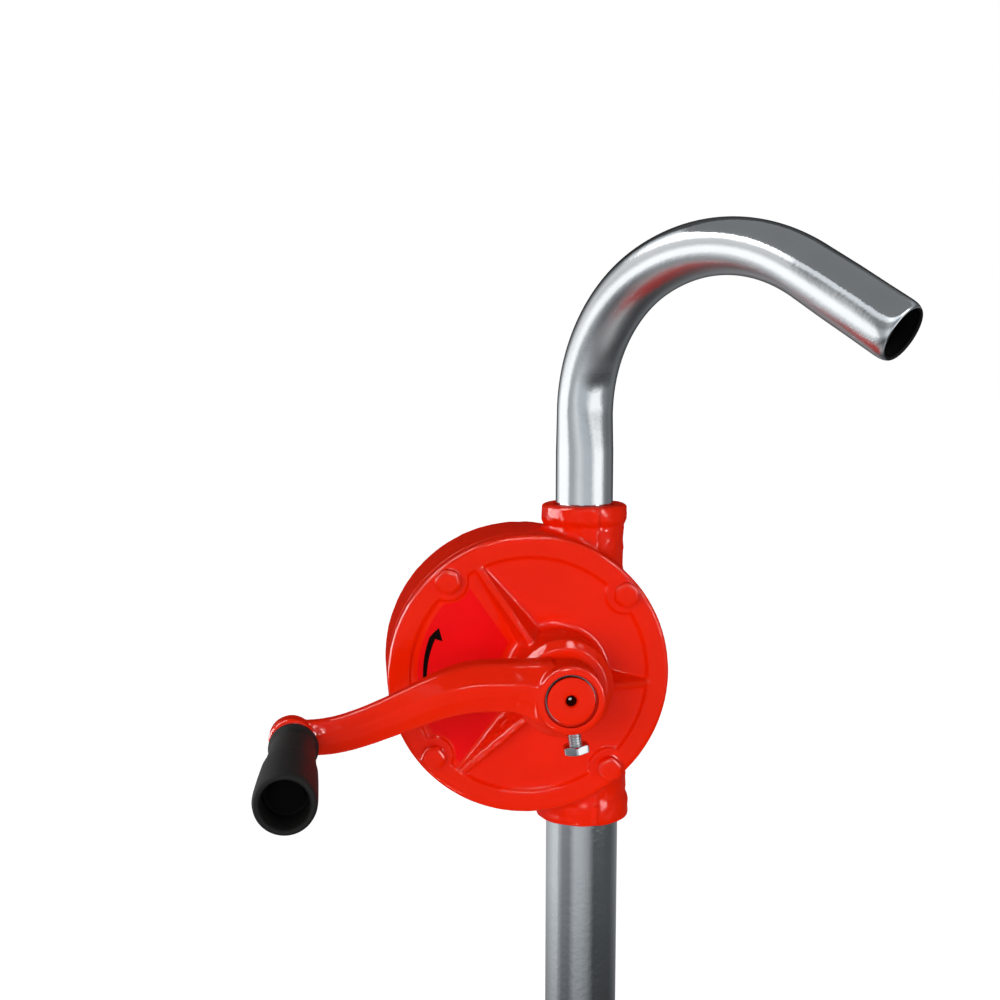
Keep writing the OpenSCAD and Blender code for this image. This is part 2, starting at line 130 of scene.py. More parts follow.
def finish_with(piece, kind, **settings):
    """Adds one modifier with its settings and applies it."""
    choose(piece)
    modifier = piece.modifiers.new(kind.lower(), kind)
    for key, value in settings.items():
        setattr(modifier, key, value)
    bpy.ops.object.modifier_apply(modifier=modifier.name)


def face_outwards(weld=False):
    """Turns all faces outwards, after a weld of doubles if asked, and leaves edit mode."""
    bpy.ops.mesh.select_all(action="SELECT")
    if weld:
        bpy.ops.mesh.remove_doubles(threshold=2 * SAME_PLACE)
    bpy.ops.mesh.normals_make_consistent(inside=False)
    bpy.ops.object.mode_set(mode="OBJECT")


def turn_on_lathe(stations, sides=96, closed=False):
    """Draws a circle from station to station along Z. A station is a radius and a height.

    A closed outline comes back to its first station, as a tube with a wall does. An open
    one is a solid bar, whose two ends are filled.
    """
    clear_selection()
    radius, height = stations[0]
    bpy.ops.mesh.primitive_circle_add(
        vertices=sides, radius=radius * MM, fill_type="NOTHING" if closed else "NGON"
    )
    piece = bpy.context.object
    edit_whole(piece)
    bpy.ops.transform.translate(value=(0, 0, height * MM))
    for next_radius, next_height in stations[1:] + (stations[:1] if closed else []):
        bpy.ops.mesh.extrude_region_move(
            TRANSFORM_OT_translate={"value": (0, 0, (next_height - height) * MM)}
        )
        ratio = next_radius / radius
        bpy.ops.transform.resize(value=(ratio, ratio, 1), center_override=(0, 0, 0))
        radius, height = next_radius, next_height
    face_outwards(weld=True)
    return piece


def join(pieces):
    """Joins several pieces into the first."""
    choose(pieces[0])
    for piece in pieces[1:]:
        piece.select_set(True)
    bpy.ops.object.join()
    return bpy.context.object


def cut_with(piece, cutter, operation="DIFFERENCE"):
    """Takes the cutter's shape out of the piece, or keeps only it, and drops the cutter."""
    finish_with(piece, "BOOLEAN", operation=operation, solver="EXACT", object=cutter)
    bpy.data.objects.remove(cutter)


def round_edges(piece, width, segments, angle):
    """Rounds, by a width in millimetres, each edge that is sharper than the angle."""
    finish_with(
        piece, "BEVEL", width=width * MM, segments=segments, limit_method="ANGLE",
        angle_limit=math.radians(angle),
    )


def smooth_shaded(piece, angle=35):
    """Smooth shading that keeps edges sharper than the angle."""
    choose(piece)
    bpy.ops.object.shade_smooth_by_angle(angle=math.radians(angle))


def dress(piece, finish, body, slot=None, stands_for=()):
    """Gives a piece its finish and body, adds red_paint ones to the painted pieces, hides its
    solids.
    """
    piece.data.materials.clear()
    piece.data.materials.append(finish)
    if slot == "red_paint":
        painted_pieces.objects.link(piece)
    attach(piece, body)
    if stands_for:
        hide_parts(*stands_for)
    print(piece.name, "rides on", body, "with", len(piece.data.polygons), "faces")


print("helpers ready: from finish_with and turn_on_lathe to dress")

# %% [markdown]
# The camera stands where the photographer stood. Its place was solved from the outlines of
# the cover, the shaft, the tubes and the crank, so the head shows the same ellipses here.
# The shift only moves the frame, because the picture was cropped off the lens axis.

# %% Camera
VIEW_POINT = Vector((-97.04, -646.08, 508.70)) * MM
VIEW_YAW, VIEW_PITCH = math.radians(4.936), math.radians(-7.479)
look = Vector((
    math.sin(VIEW_YAW) * math.cos(VIEW_PITCH),
    math.cos(VIEW_YAW) * math.cos(VIEW_PITCH),
    math.sin(VIEW_PITCH),
))
clear_selection()
bpy.ops.object.camera_add(
    location=VIEW_POINT, rotation=look.to_track_quat("-Z", "Y").to_euler()
)
camera = bpy.context.object
camera.data.sensor_width = 36
camera.data.lens = 54.01
camera.data.shift_x = 0.0098
camera.data.shift_y = 0.0302
scene.camera = camera
print("camera at", [round(x, 4) for x in camera.location])

# %% [markdown]
# Colours are written as sRGB hex values, as a paint chart gives them, and one function
# turns them into the linear values that the shader wants. One more function adds a node,
# sets it and links it, so that each finish below reads as a list of what it is made of.

# %% Colour and node helpers


def linear(hex_code):
    """An sRGB hex value as linear red, green, blue and alpha."""
    channels = [int(hex_code[k:k + 2], 16) / 255 for k in (1, 3, 5)]
    curve = [c / 12.92 if c <= 0.04045 else ((c + 0.055) / 1.055) ** 2.4 for c in channels]
    return (*curve, 1.0)


def per_mm(size):
    """The texture scale at which one grain of a pattern is that many millimetres."""
    return 1 / (size * MM)


def add_node(tree, kind, inputs=None, **settings):
    """Adds a node, sets its properties, and fills its sockets with values or links."""
    made = tree.nodes.new(kind)
    for key, value in settings.items():
        setattr(made, key, value)
    for socket, value in (inputs or {}).items():
        if isinstance(value, bpy.types.NodeSocket):
            tree.links.new(value, made.inputs[socket])
        else:
            made.inputs[socket].default_value = value
    return made


def new_finish(name, **sockets):
    """A material with one principled shader, and the plain values of that shader."""
    finish = bpy.data.materials.new(name)
    finish.use_nodes = True
    shader = finish.node_tree.nodes["Principled BSDF"]
    for socket, value in sockets.items():
        shader.inputs[socket.replace("_", " ")].default_value = value
    return finish, finish.node_tree, shader


BLACK, WHITE = linear("#000000"), linear("#FFFFFF")
print("helpers ready: linear, per_mm, add_node, new_finish")

# %% [markdown]
# The studio is plain: a floor of pale paper and a white surround. Both are white to the
# camera and to mirrors, and give much less light than that to the pump, so the red stays
# deep in front of a white ground. The floor lies well below the foot, because the pump can
# slide down through its bung adapter. The paper's grain is 40 mm clouds, barely seen.

# %% Floor and surround
FLOOR_HEIGHT = -985
FLOOR_GLOW, DIM_SURROUND = 0.7, 0.34


def seen_not_lit(tree):
    """1 on rays from the camera, a mirror or glass, and 0 on the rays that light the pump."""
    path = add_node(tree, "ShaderNodeLightPath").outputs
    seen = path["Is Camera Ray"]
    for ray in ("Is Glossy Ray", "Is Transmission Ray"):
        either = add_node(
            tree, "ShaderNodeMath", {0: seen, 1: path[ray]}, operation="MAXIMUM"
        )
        seen = either.outputs[0]
    return seen


clear_selection()
bpy.ops.mesh.primitive_plane_add(size=60, location=(0, 0, FLOOR_HEIGHT * MM))
floor = settle(bpy.context.object, "floor")
paper, tree, shader = new_finish("pale_studio_paper", Roughness=0.9, Emission_Color=WHITE)
place = add_node(tree, "ShaderNodeTexCoord").outputs["Object"]
grain = add_node(
    tree, "ShaderNodeTexNoise", {"Vector": place, "Scale": per_mm(40), "Detail": 4.0}
)
tint = add_node(
    tree, "ShaderNodeMix",
    {0: grain.outputs["Fac"], 6: linear("#F6F6F5"), 7: linear("#FAFAFA")},
    data_type="RGBA",
)
tree.links.new(tint.outputs[2], shader.inputs["Base Color"])
glow = add_node(
    tree, "ShaderNodeMath", {0: seen_not_lit(tree), 1: FLOOR_GLOW}, operation="MULTIPLY"
)
tree.links.new(glow.outputs[0], shader.inputs["Emission Strength"])
floor.data.materials.append(paper)

surround = bpy.data.worlds.new("white_surround")
surround.use_nodes = True
scene.world = surround
tree = surround.node_tree
level = add_node(
    tree, "ShaderNodeMapRange",
    {"Value": seen_not_lit(tree), "To Min": DIM_SURROUND, "To Max": 1.0},
)
tree.links.new(level.outputs["Result"], tree.nodes["Background"].inputs["Strength"])
tree.nodes["Background"].inputs["Color"].default_value = WHITE
print("floor at", FLOOR_HEIGHT, "mm, surround at", DIM_SURROUND, "for the light on the pump")

# %% [markdown]
# Plated tubes show nothing but their surroundings, so the photographer's grey screens matter
# more to them than any lamp. The screens are a ring round the pump, seen by reflections
# only. It is one open cylinder whose greys go round with the angle: white panels at the left
# and at the front right, grey between them and behind. The suction tube below the head
# mirrors other panels than the spout above it, so the ring has a lower and an upper row of
# greys, and a third row that makes it brighter or darker with height.

# %% Ring of screens
LOWER_GREYS = [
    (0.00, "#A8AAAC"), (0.05, "#787A7E"), (0.115, "#727478"), (0.17, "#A8AAAD"),
    (0.23, "#A2A5A8"), (0.28, "#8E9092"), (0.34, "#484A4B"), (0.52, "#464849"),
    (0.60, "#606264"), (0.84, "#9C9EA0"), (0.945, "#C0C2C4"),
]
UPPER_GREYS = [
    (0.00, "#FFFFFF"), (0.03, "#FAFAFA"), (0.06, "#A0A2A4"), (0.10, "#A0A2A4"),
    (0.17, "#CCCECF"), (0.23, "#B0B4B8"), (0.30, "#ACB0B4"), (0.35, "#F8F8F8"),
    (0.42, "#F8F8F8"), (0.465, "#84868A"), (0.51, "#66686A"), (0.58, "#66686A"),
    (0.65, "#2A2B2C"), (0.80, "#2A2B2C"), (0.85, "#9C9EA0"), (0.91, "#FFFFFF"),
]
GREYS_BY_HEIGHT = [
    (0.10, "#7C7C7C"), (0.20, "#BCBCBC"), (0.46, "#BCBCBC"), (0.58, "#8F8F8F"),
    (0.74, "#959595"), (0.84, "#F6F6F6"),
]
RING_RADIUS, SCREEN_GLOW = 1.3, 3.2
SCREEN_LOW, GREYS_FROM, SCREEN_HIGH = -0.983, -0.71, 1.79
UPPER_FROM, UPPER_FULL = -0.12, 0.02


def set_stops(ramp, greys):
    """Gives a colour ramp its greys, as (position, colour) pairs.

    A ramp sorts its stops as they move, so all are moved before any is coloured.
    """
    stops = ramp.color_ramp.elements
    while len(stops) < len(greys):
        stops.new(0.5)
    for stop, (position, _) in zip(stops, greys):
        stop.position = position
    for stop, (_, grey) in zip(stops, greys):
        stop.color = linear(grey)


def reflection_only(screen, cloth):
    """Hangs a studio screen in its cloth, where only reflections see it."""
    screen.data.materials.append(cloth)
    screen.visible_camera = False
    screen.visible_diffuse = False
    screen.visible_transmission = False
    screen.visible_shadow = False


clear_selection()
bpy.ops.mesh.primitive_cylinder_add(
    vertices=128, radius=RING_RADIUS, depth=SCREEN_HIGH - SCREEN_LOW, end_fill_type="NOTHING",
    location=(0, 0, (SCREEN_LOW + SCREEN_HIGH) / 2),
)
ring_of_screens = settle(bpy.context.object, "ring_of_screens")
cloth, tree, shader = new_finish("grey_screen_cloth", Roughness=1.0, Base_Color=BLACK)
place = add_node(tree, "ShaderNodeTexCoord").outputs["Object"]
turn = add_node(tree, "ShaderNodeTexGradient", {"Vector": place}, gradient_type="RADIAL")
height = add_node(tree, "ShaderNodeSeparateXYZ", {"Vector": place}).outputs["Z"]
part = add_node(
    tree, "ShaderNodeMapRange",
    {"Value": height, "From Min": GREYS_FROM, "From Max": SCREEN_HIGH},
)
rows = []
for greys, way in [
    (LOWER_GREYS, turn.outputs["Fac"]), (UPPER_GREYS, turn.outputs["Fac"]),
    (GREYS_BY_HEIGHT, part.outputs["Result"]),
]:
    row = add_node(tree, "ShaderNodeValToRGB", {"Fac": way})
    set_stops(row, greys)
    rows.append(row.outputs["Color"])
rise = add_node(
    tree, "ShaderNodeMapRange",
    {"Value": height, "From Min": UPPER_FROM, "From Max": UPPER_FULL},
)
grey = add_node(
    tree, "ShaderNodeMix", {0: rise.outputs["Result"], 6: rows[0], 7: rows[1]},
    data_type="RGBA",
)
glow = add_node(tree, "ShaderNodeMath", {0: rows[2], 1: SCREEN_GLOW}, operation="MULTIPLY")
tree.links.new(grey.outputs[2], shader.inputs["Emission Color"])
tree.links.new(glow.outputs[0], shader.inputs["Emission Strength"])
reflection_only(ring_of_screens, cloth)
print("ring of screens:", len(LOWER_GREYS), "greys below,", len(UPPER_GREYS), "above")

# %% [markdown]
# A grey ceiling closes the ring at the top, and a round table screen lies just above the
# floor. Seen from above, a tube mirrors the table, and one flat grey would make it look like
# plastic. So the table's greys go round with the angle too, and its middle is brighter.

# %% Ceiling and table screen
TABLE_GREYS = [
    (0.00, "#F0F0F0"), (0.08, "#9A9C9E"), (0.20, "#D8DADC"), (0.34, "#FFFFFF"),
    (0.46, "#8A8C8E"), (0.60, "#4A4C4E"), (0.78, "#6A6C6E"), (0.92, "#FFFFFF"),
]
TABLE_HEIGHT, TABLE_POOL = SCREEN_LOW + 0.002, 1.2


def round_screen(name, height):
    """A flat round screen as wide as the ring."""
    clear_selection()
    bpy.ops.mesh.primitive_circle_add(
        vertices=96, radius=RING_RADIUS, fill_type="NGON", location=(0, 0, height)
    )
    return settle(bpy.context.object, name)


ceiling = round_screen("ceiling_screen", SCREEN_HIGH)
felt, *_ = new_finish(
    "grey_ceiling_felt", Roughness=1.0, Base_Color=BLACK,
    Emission_Color=linear("#8A8C8E"), Emission_Strength=1.0,
)
reflection_only(ceiling, felt)

table = round_screen("table_screen", TABLE_HEIGHT)
baize, tree, shader = new_finish("grey_table_baize", Roughness=1.0, Base_Color=BLACK)
place = add_node(tree, "ShaderNodeTexCoord").outputs["Object"]
spread = add_node(
    tree, "ShaderNodeMapping",
    {
        "Vector": place, "Location": (0, 0, -TABLE_HEIGHT / TABLE_POOL),
        "Scale": (1 / TABLE_POOL, 1 / TABLE_POOL, 1 / TABLE_POOL),
    },
)
pool = add_node(
    tree, "ShaderNodeTexGradient", {"Vector": spread.outputs["Vector"]},
    gradient_type="SPHERICAL",
)
glow = add_node(
    tree, "ShaderNodeMapRange", {"Value": pool.outputs["Fac"], "To Min": 0.5, "To Max": 0.7}
)
turn = add_node(tree, "ShaderNodeTexGradient", {"Vector": place}, gradient_type="RADIAL")
bands = add_node(tree, "ShaderNodeValToRGB", {"Fac": turn.outputs["Fac"]})
set_stops(bands, TABLE_GREYS)
tree.links.new(bands.outputs["Color"], shader.inputs["Emission Color"])
tree.links.new(glow.outputs["Result"], shader.inputs["Emission Strength"])
reflection_only(table, baize)
print("ceiling at", SCREEN_HIGH, "m, table screen at", round(TABLE_HEIGHT, 3), "m")

# %% [markdown]
# Three large softboxes light the pump. They give no highlights, because a lamp that lights
# well seldom stands where its mirror image is wanted. The highlights on the enamel come from
# six lamps called windows, which give gloss and no light. They are linked to the painted
# pieces alone, so that they don't show on the plated tubes.

# %% Lamps
LAMP_AIM = Vector((0, 0, 0.36))
LAMPS = {
    "key_softbox": ((-1.1, -2.1, 0.75), (1.3, 1.3), 28),
    "front_right_softbox": ((1.5, -1.7, 0.35), (0.9, 0.9), 9),
    "back_softbox": ((-0.9, 1.7, 1.2), (1.0, 1.0), 6),
    "left_window": ((-1.04, 0.13, 0.50), (0.85, 0.65), 57),
    "front_right_window": ((0.68, -0.66, 0.65), (0.14, 0.75), 19),
    "front_top_window": ((0.0, -0.84, 0.87), (0.35, 0.06), 8),
    "upper_left_window": ((-0.78, -0.21, 1.15), (0.30, 1.00), 34),
    "top_window": ((0.35, -0.30, 1.40), (0.40, 0.30), 10),
    "low_left_window": ((-0.34, -0.65, -0.30), (0.30, 0.10), 3.4),
}
painted_pieces = bpy.data.collections.new("painted_pieces")
for lamp_name, (spot, sides, watts) in LAMPS.items():
    clear_selection()
    bpy.ops.object.light_add(type="AREA", location=spot)
    lamp = bpy.context.object
    lamp.name = lamp_name
    lamp.data.shape = "RECTANGLE"
    lamp.data.size, lamp.data.size_y = sides
    lamp.data.energy = watts
    lamp.visible_camera = False
    lamp.visible_diffuse = "softbox" in lamp_name
    lamp.visible_glossy = "window" in lamp_name
    if "window" in lamp_name:
        lamp.light_linking.receiver_collection = painted_pieces
    aim = LAMP_AIM - Vector(spot)
    lamp.rotation_euler = aim.to_track_quat("-Z", "Y").to_euler()
print("lamps:", ", ".join(LAMPS))

# %% [markdown]
# The head, its cover, the bolts and the crank are grey iron castings with one thick coat of
# orange-red gloss enamel. Sand casting leaves a skin of small lumps and pits, and the
# enamel flows over it: wide soft highlights, broken up at the edges, a little orange peel
# in between, and a slightly deeper red where the coat is thicker. Real lumps are about 5 mm
# across and the grain about 0.8 mm. Both are drawn as bump.

# %% Finish: gloss enamel on sand-cast iron
RED_LIGHT, RED_DEEP = "#F62605", "#EA1E01"


def gloss_enamel(name, light, deep, grain_depth, gloss):
    """Thick brushed or dipped gloss enamel over a sand-cast skin."""
    finish, tree, shader = new_finish(
        name, Roughness=0.36, Specular_IOR_Level=0.0, Coat_Weight=gloss, Coat_Roughness=0.06
    )
    place = add_node(tree, "ShaderNodeTexCoord").outputs["Object"]
    flow = add_node(
        tree, "ShaderNodeTexNoise", {"Vector": place, "Scale": per_mm(22), "Detail": 3.0}
    )
    tint = add_node(
        tree, "ShaderNodeMix",
        {0: flow.outputs["Fac"], 6: linear(deep), 7: linear(light)},
        data_type="RGBA",
    )
    tree.links.new(tint.outputs[2], shader.inputs["Base Color"])
    lumps = add_node(
        tree, "ShaderNodeTexNoise", {"Vector": place, "Scale": per_mm(5), "Detail": 2.0}
    )
    grain = add_node(
        tree, "ShaderNodeTexNoise", {"Vector": place, "Scale": per_mm(0.8), "Detail": 3.0}
    )
    worn = add_node(
        tree, "ShaderNodeMapRange",
        {"Value": grain.outputs["Fac"], "To Min": 0.26, "To Max": 0.42},
    )
    tree.links.new(worn.outputs["Result"], shader.inputs["Roughness"])
    soft = add_node(
        tree, "ShaderNodeBump",
        {"Height": lumps.outputs["Fac"], "Strength": 0.35, "Distance": 0.5 * MM},
    )
    fine = add_node(
        tree, "ShaderNodeBump",
        {
            "Height": grain.outputs["Fac"], "Strength": 0.3, "Distance": grain_depth * MM,
            "Normal": soft.outputs["Normal"],
        },
    )
    tree.links.new(fine.outputs["Normal"], shader.inputs["Normal"])
    tree.links.new(fine.outputs["Normal"], shader.inputs["Coat Normal"])
    return finish


red_enamel = gloss_enamel(
    "gloss_red_enamel_on_cast_iron", RED_LIGHT, RED_DEEP, grain_depth=0.10, gloss=0.24
)
rough_red_enamel = gloss_enamel(
    "gloss_red_enamel_on_rough_cast_iron", RED_LIGHT, RED_DEEP, grain_depth=0.18, gloss=0.20
)
# A near-black red enamel: painted shade for the drilled hole and the groove round the shaft end.
hole_shade_enamel = gloss_enamel(
    "red_enamel_painted_shade_in_hole", "#4A0B05", "#240603", grain_depth=0.10, gloss=0.04
)
print("enamels:", red_enamel.name, rough_red_enamel.name, hole_shade_enamel.name)

# %% [markdown]
# The tubes are drawn steel, bright zinc plated. The plating is a mirror with a slight haze.
# A faint peel of about 2.6 mm ripples it, and the drawing leaves lines along the tube, so a
# highlight has a ragged border. The lines are about 0.5 mm apart and drawn coarser, at
# 1.2 mm, to show at all. Bending crushes the skin on the inside of a bend, where the plating
# comes out duller. The spout carries an attribute that says where that is. Little plating
# gets into the bore, so that is scaled steel, drawn near black as painted shade for the
# inside of the tube.

# %% Finish: bright plating on drawn steel tube
CRUSHED_HAZE = 0.2


def bright_plating(name, stretch, bent=False):
    """Bright zinc plate, with the noise stretched along the tube by that factor."""
    finish, tree, shader = new_finish(name, Metallic=1.0, Roughness=0.16)
    place = add_node(tree, "ShaderNodeTexCoord").outputs["Object"]
    along = add_node(tree, "ShaderNodeMapping", {"Vector": place, "Scale": (1, 1, 1 / stretch)})
    lines = add_node(
        tree, "ShaderNodeTexNoise",
        {"Vector": along.outputs["Vector"], "Scale": per_mm(1.2), "Detail": 3.0},
    )
    cloud = add_node(
        tree, "ShaderNodeTexNoise", {"Vector": place, "Scale": per_mm(18), "Detail": 4.0}
    )
    tint = add_node(
        tree, "ShaderNodeMix",
        {0: cloud.outputs["Fac"], 6: linear("#C3C7CA"), 7: linear("#D2D5D7")},
        data_type="RGBA",
    )
    tree.links.new(tint.outputs[2], shader.inputs["Base Color"])
    haze = add_node(
        tree, "ShaderNodeMapRange",
        {"Value": cloud.outputs["Fac"], "To Min": 0.05, "To Max": 0.14},
    )
    dull = haze.outputs["Result"]
    if bent:
        inside = add_node(tree, "ShaderNodeAttribute", attribute_name="inside_of_bend")
        crushed = add_node(
            tree, "ShaderNodeMath", {0: inside.outputs["Fac"], 1: CRUSHED_HAZE, 2: dull},
            operation="MULTIPLY_ADD",
        )
        dull = crushed.outputs[0]
    tree.links.new(dull, shader.inputs["Roughness"])
    peel = add_node(
        tree, "ShaderNodeTexNoise", {"Vector": place, "Scale": per_mm(2.6), "Detail": 2.0}
    )
    rippled = add_node(
        tree, "ShaderNodeBump",
        {"Height": peel.outputs["Fac"], "Strength": 0.3, "Distance": 0.14 * MM},
    )
    skin = add_node(
        tree, "ShaderNodeBump",
        {
            "Height": lines.outputs["Fac"], "Strength": 0.2, "Distance": 0.12 * MM,
            "Normal": rippled.outputs["Normal"],
        },
    )
    tree.links.new(skin.outputs["Normal"], shader.inputs["Normal"])
    return finish


tube_plating = bright_plating("bright_zinc_plate_on_drawn_tube", 30)
bend_plating = bright_plating("bright_zinc_plate_on_bent_tube", 1, bent=True)
screw_plating = bright_plating("bright_zinc_plate_on_screw", 1)

# The bore's finish: scaled steel, drawn near black as painted shade inside the tube.
bore_scale_and_shade, tree, shader = new_finish("oxidised_steel_bore_and_painted_shade", Metallic=0.6, Roughness=0.7)
place = add_node(tree, "ShaderNodeTexCoord").outputs["Object"]
scale_noise = add_node(
    tree, "ShaderNodeTexNoise", {"Vector": place, "Scale": per_mm(3), "Detail": 4.0}
)
tint = add_node(
    tree, "ShaderNodeMix",
    {0: scale_noise.outputs["Fac"], 6: linear("#0B0B0B"), 7: linear("#1C1A19")},
    data_type="RGBA",
)
tree.links.new(tint.outputs[2], shader.inputs["Base Color"])
print("platings:", tube_plating.name, bend_plating.name, screw_plating.name)

# %% [markdown]
# The plastics: the grip is moulded black polypropylene with a matt eroded skin, the bung
# adapter is red polyamide with a satin skin, and the strainer is dark red nylon. An eroded
# mould leaves a grain of about 0.4 mm, drawn here at 0.6 mm so that it shows. The sticker's
# vinyl and its ink are smoother films with the same faint clouds.

# %% Finish: moulded plastics


def moulded_plastic(name, light, deep, rough_low, rough_high, depth, shine=0.5):
    """A moulded plastic with an eroded mould skin and faint flow clouds."""
    finish, tree, shader = new_finish(
        name, Roughness=rough_high, IOR=1.49, Specular_IOR_Level=shine
    )
    place = add_node(tree, "ShaderNodeTexCoord").outputs["Object"]
    cloud = add_node(
        tree, "ShaderNodeTexNoise", {"Vector": place, "Scale": per_mm(14), "Detail": 3.0}
    )
    tint = add_node(
        tree, "ShaderNodeMix",
        {0: cloud.outputs["Fac"], 6: linear(deep), 7: linear(light)},
        data_type="RGBA",
    )
    tree.links.new(tint.outputs[2], shader.inputs["Base Color"])
    skin = add_node(
        tree, "ShaderNodeTexNoise", {"Vector": place, "Scale": per_mm(0.6), "Detail": 2.0}
    )
    sheen = add_node(
        tree, "ShaderNodeMapRange",
        {"Value": skin.outputs["Fac"], "To Min": rough_low, "To Max": rough_high},
    )
    tree.links.new(sheen.outputs["Result"], shader.inputs["Roughness"])
    eroded = add_node(
        tree, "ShaderNodeBump",
        {"Height": skin.outputs["Fac"], "Strength": 0.35, "Distance": depth * MM},
    )
    tree.links.new(eroded.outputs["Normal"], shader.inputs["Normal"])
    return finish


grip_plastic = moulded_plastic(
    "matt_black_polypropylene", "#191716", "#100F0E", 0.50, 0.68, 0.10, 0.3
)
adapter_plastic = moulded_plastic("red_polyamide", "#DB2007", "#CC1A05", 0.34, 0.46, 0.06)
strainer_plastic = moulded_plastic("dark_red_nylon", "#5C0A14", "#48060E", 0.30, 0.44, 0.05)
red_vinyl = moulded_plastic(
    "gloss_red_vinyl_sticker", "#F4060C", "#EA060C", 0.30, 0.40, 0.02, 0.06
)
black_ink = moulded_plastic("printed_black_ink", "#0C0505", "#080404", 0.4, 0.5, 0.01, 0.06)
print("plastics:", grip_plastic.name, adapter_plastic.name, strainer_plastic.name)

# %% [markdown]
# The working parts inside are seen only when the pump is taken apart: turned steel, a
# machined iron rotor, bronze bushes and vanes, rubber rings and fibre gaskets. Each is a
# colour that varies a little, with a bump of its own size, from 0.7 mm for the fibre to
# 1.6 mm for the iron.

# %% Finish: inner parts


def plain_stock(name, light, deep, metallic, roughness, grain_size, depth, shine=0.5):
    """A machined metal, rubber or fibre with a fine grain."""
    finish, tree, shader = new_finish(
        name, Metallic=metallic, Roughness=roughness, Specular_IOR_Level=shine
    )
    place = add_node(tree, "ShaderNodeTexCoord").outputs["Object"]
    grain = add_node(
        tree, "ShaderNodeTexNoise", {"Vector": place, "Scale": per_mm(grain_size), "Detail": 3.0}
    )
    tint = add_node(
        tree, "ShaderNodeMix",
        {0: grain.outputs["Fac"], 6: linear(deep), 7: linear(light)},
        data_type="RGBA",
    )
    tree.links.new(tint.outputs[2], shader.inputs["Base Color"])
    skin = add_node(
        tree, "ShaderNodeBump",
        {"Height": grain.outputs["Fac"], "Strength": 0.3, "Distance": depth * MM},
    )
    tree.links.new(skin.outputs["Normal"], shader.inputs["Normal"])
    return finish


turned_steel = plain_stock("turned_steel", "#A6A9AC", "#8E9194", 1.0, 0.32, 1.0, 0.04)
machined_iron = plain_stock("machined_cast_iron", "#7B7C7D", "#636465", 0.9, 0.45, 1.6, 0.06)
tin_bronze = plain_stock("tin_bronze", "#C29A5B", "#A9824A", 1.0, 0.34, 1.2, 0.04)
nitrile_rubber = plain_stock("nitrile_rubber", "#1F1F1F", "#141414", 0.0, 0.62, 0.8, 0.06)
gasket_fibre = plain_stock("gasket_fibre", "#8C7B60", "#74644C", 0.0, 0.85, 0.7, 0.08)
# Black-oxide steel for the spindle, drawn near black and with little shine, so that its head
# also stands as painted shade in the grip's deep recess.
black_steel_and_shade = plain_stock("black_oxide_steel_and_recess_shade", "#0B0B0B", "#060606", 0.0, 0.75, 0.8, 0.04, 0.05)
print("inner finishes:", turned_steel.name, "to", black_steel_and_shade.name)

# %% [markdown]
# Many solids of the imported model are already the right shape: the straight tubes, and what
# is hidden in the pump and in the grip. They stay as they are and only get their finish.

# %% Finishes on the solids that stay
STAYING = {
    "upper_suction_tube": tube_plating, "middle_suction_tube": tube_plating,
    "lower_suction_tube": tube_plating, "strainer_screen": turned_steel,
    "cover_gasket": gasket_fibre, "front_bush": tin_bronze, "rear_bush": tin_bronze,
    "shaft_seal": nitrile_rubber, "outlet_gasket": nitrile_rubber,
    "inlet_gasket": nitrile_rubber, "bung_seal_ring": nitrile_rubber,
    "rotor_shaft": turned_steel, "rotor": machined_iron, "rotor_key": turned_steel,
    "vane_springs": turned_steel, "vane_1": tin_bronze, "vane_2": tin_bronze,
    "vane_3": tin_bronze, "vane_4": tin_bronze, "grip_spindle": black_steel_and_shade,
    "grip_nut": screw_plating,
}
for node_name, finish in STAYING.items():
    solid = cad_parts[node_name]
    solid.data.materials.clear()
    solid.data.materials.append(finish)
print("solids dressed:", len(STAYING))

# %% [markdown]
# A sand casting has no sharp edge: the mould rounds it and the enamel fills every corner.
# Beveling each edge of the cover by hand would take hundreds of selections, so a copy of
# the solid is merged, rebuilt from small even cells and relaxed a few rounds. That turns
# each sharp edge and corner into a radius of about a millimetre, in one go. A displacement
# then adds the low lumps of the sand. Some places need more than the rest, so a modifier
# can also be held to a group of points.

# %% Soft-edged castings


def lumps_of(name, size, depth):
    """A cloud texture for displacement, with lumps that are that many millimetres wide."""
    lumps = bpy.data.textures.new(name, "CLOUDS")
    lumps.noise_scale = size * MM
    lumps.noise_depth = depth
    return lumps


def copy_of_solid(node_name, name):
    """A loose copy of a solid from the frame, with a mesh of its own."""
    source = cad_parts[node_name]
    piece = bpy.data.objects.new(name, source.data.copy())
    scene.collection.objects.link(piece)
    return piece


def merge_points(piece):
    """Merges the corners of a solid's loose triangles."""
    edit_whole(piece)
    bpy.ops.mesh.remove_doubles(threshold=SAME_PLACE)
    bpy.ops.object.mode_set(mode="OBJECT")


def relax(piece, rounds):
    """Draws each point towards its neighbours, for a number of rounds."""
    finish_with(piece, "SMOOTH", factor=0.5, iterations=rounds)


def soften(piece, cell, rounds, lump):
    """Rebuilds a closed shell from even cells, relaxes it and adds the sand's lumps."""
    merge_points(piece)
    finish_with(piece, "REMESH", mode="VOXEL", voxel_size=cell * MM, use_smooth_shade=True)
    relax(piece, rounds)
    finish_with(piece, "DISPLACE", texture=sand_lumps, strength=lump * MM, mid_level=0.5)
    choose(piece)
    bpy.ops.object.shade_smooth()
    return piece


def rework(piece, group_name, wanted, kind, **settings):
    """Applies a modifier to the points whose place, in millimetres, answers to wanted."""
    group = piece.vertex_groups.new(name=group_name)
    group.add([v.index for v in piece.data.vertices if wanted(v.co / MM)], 1.0, "REPLACE")
    finish_with(piece, kind, vertex_group=group_name, **settings)


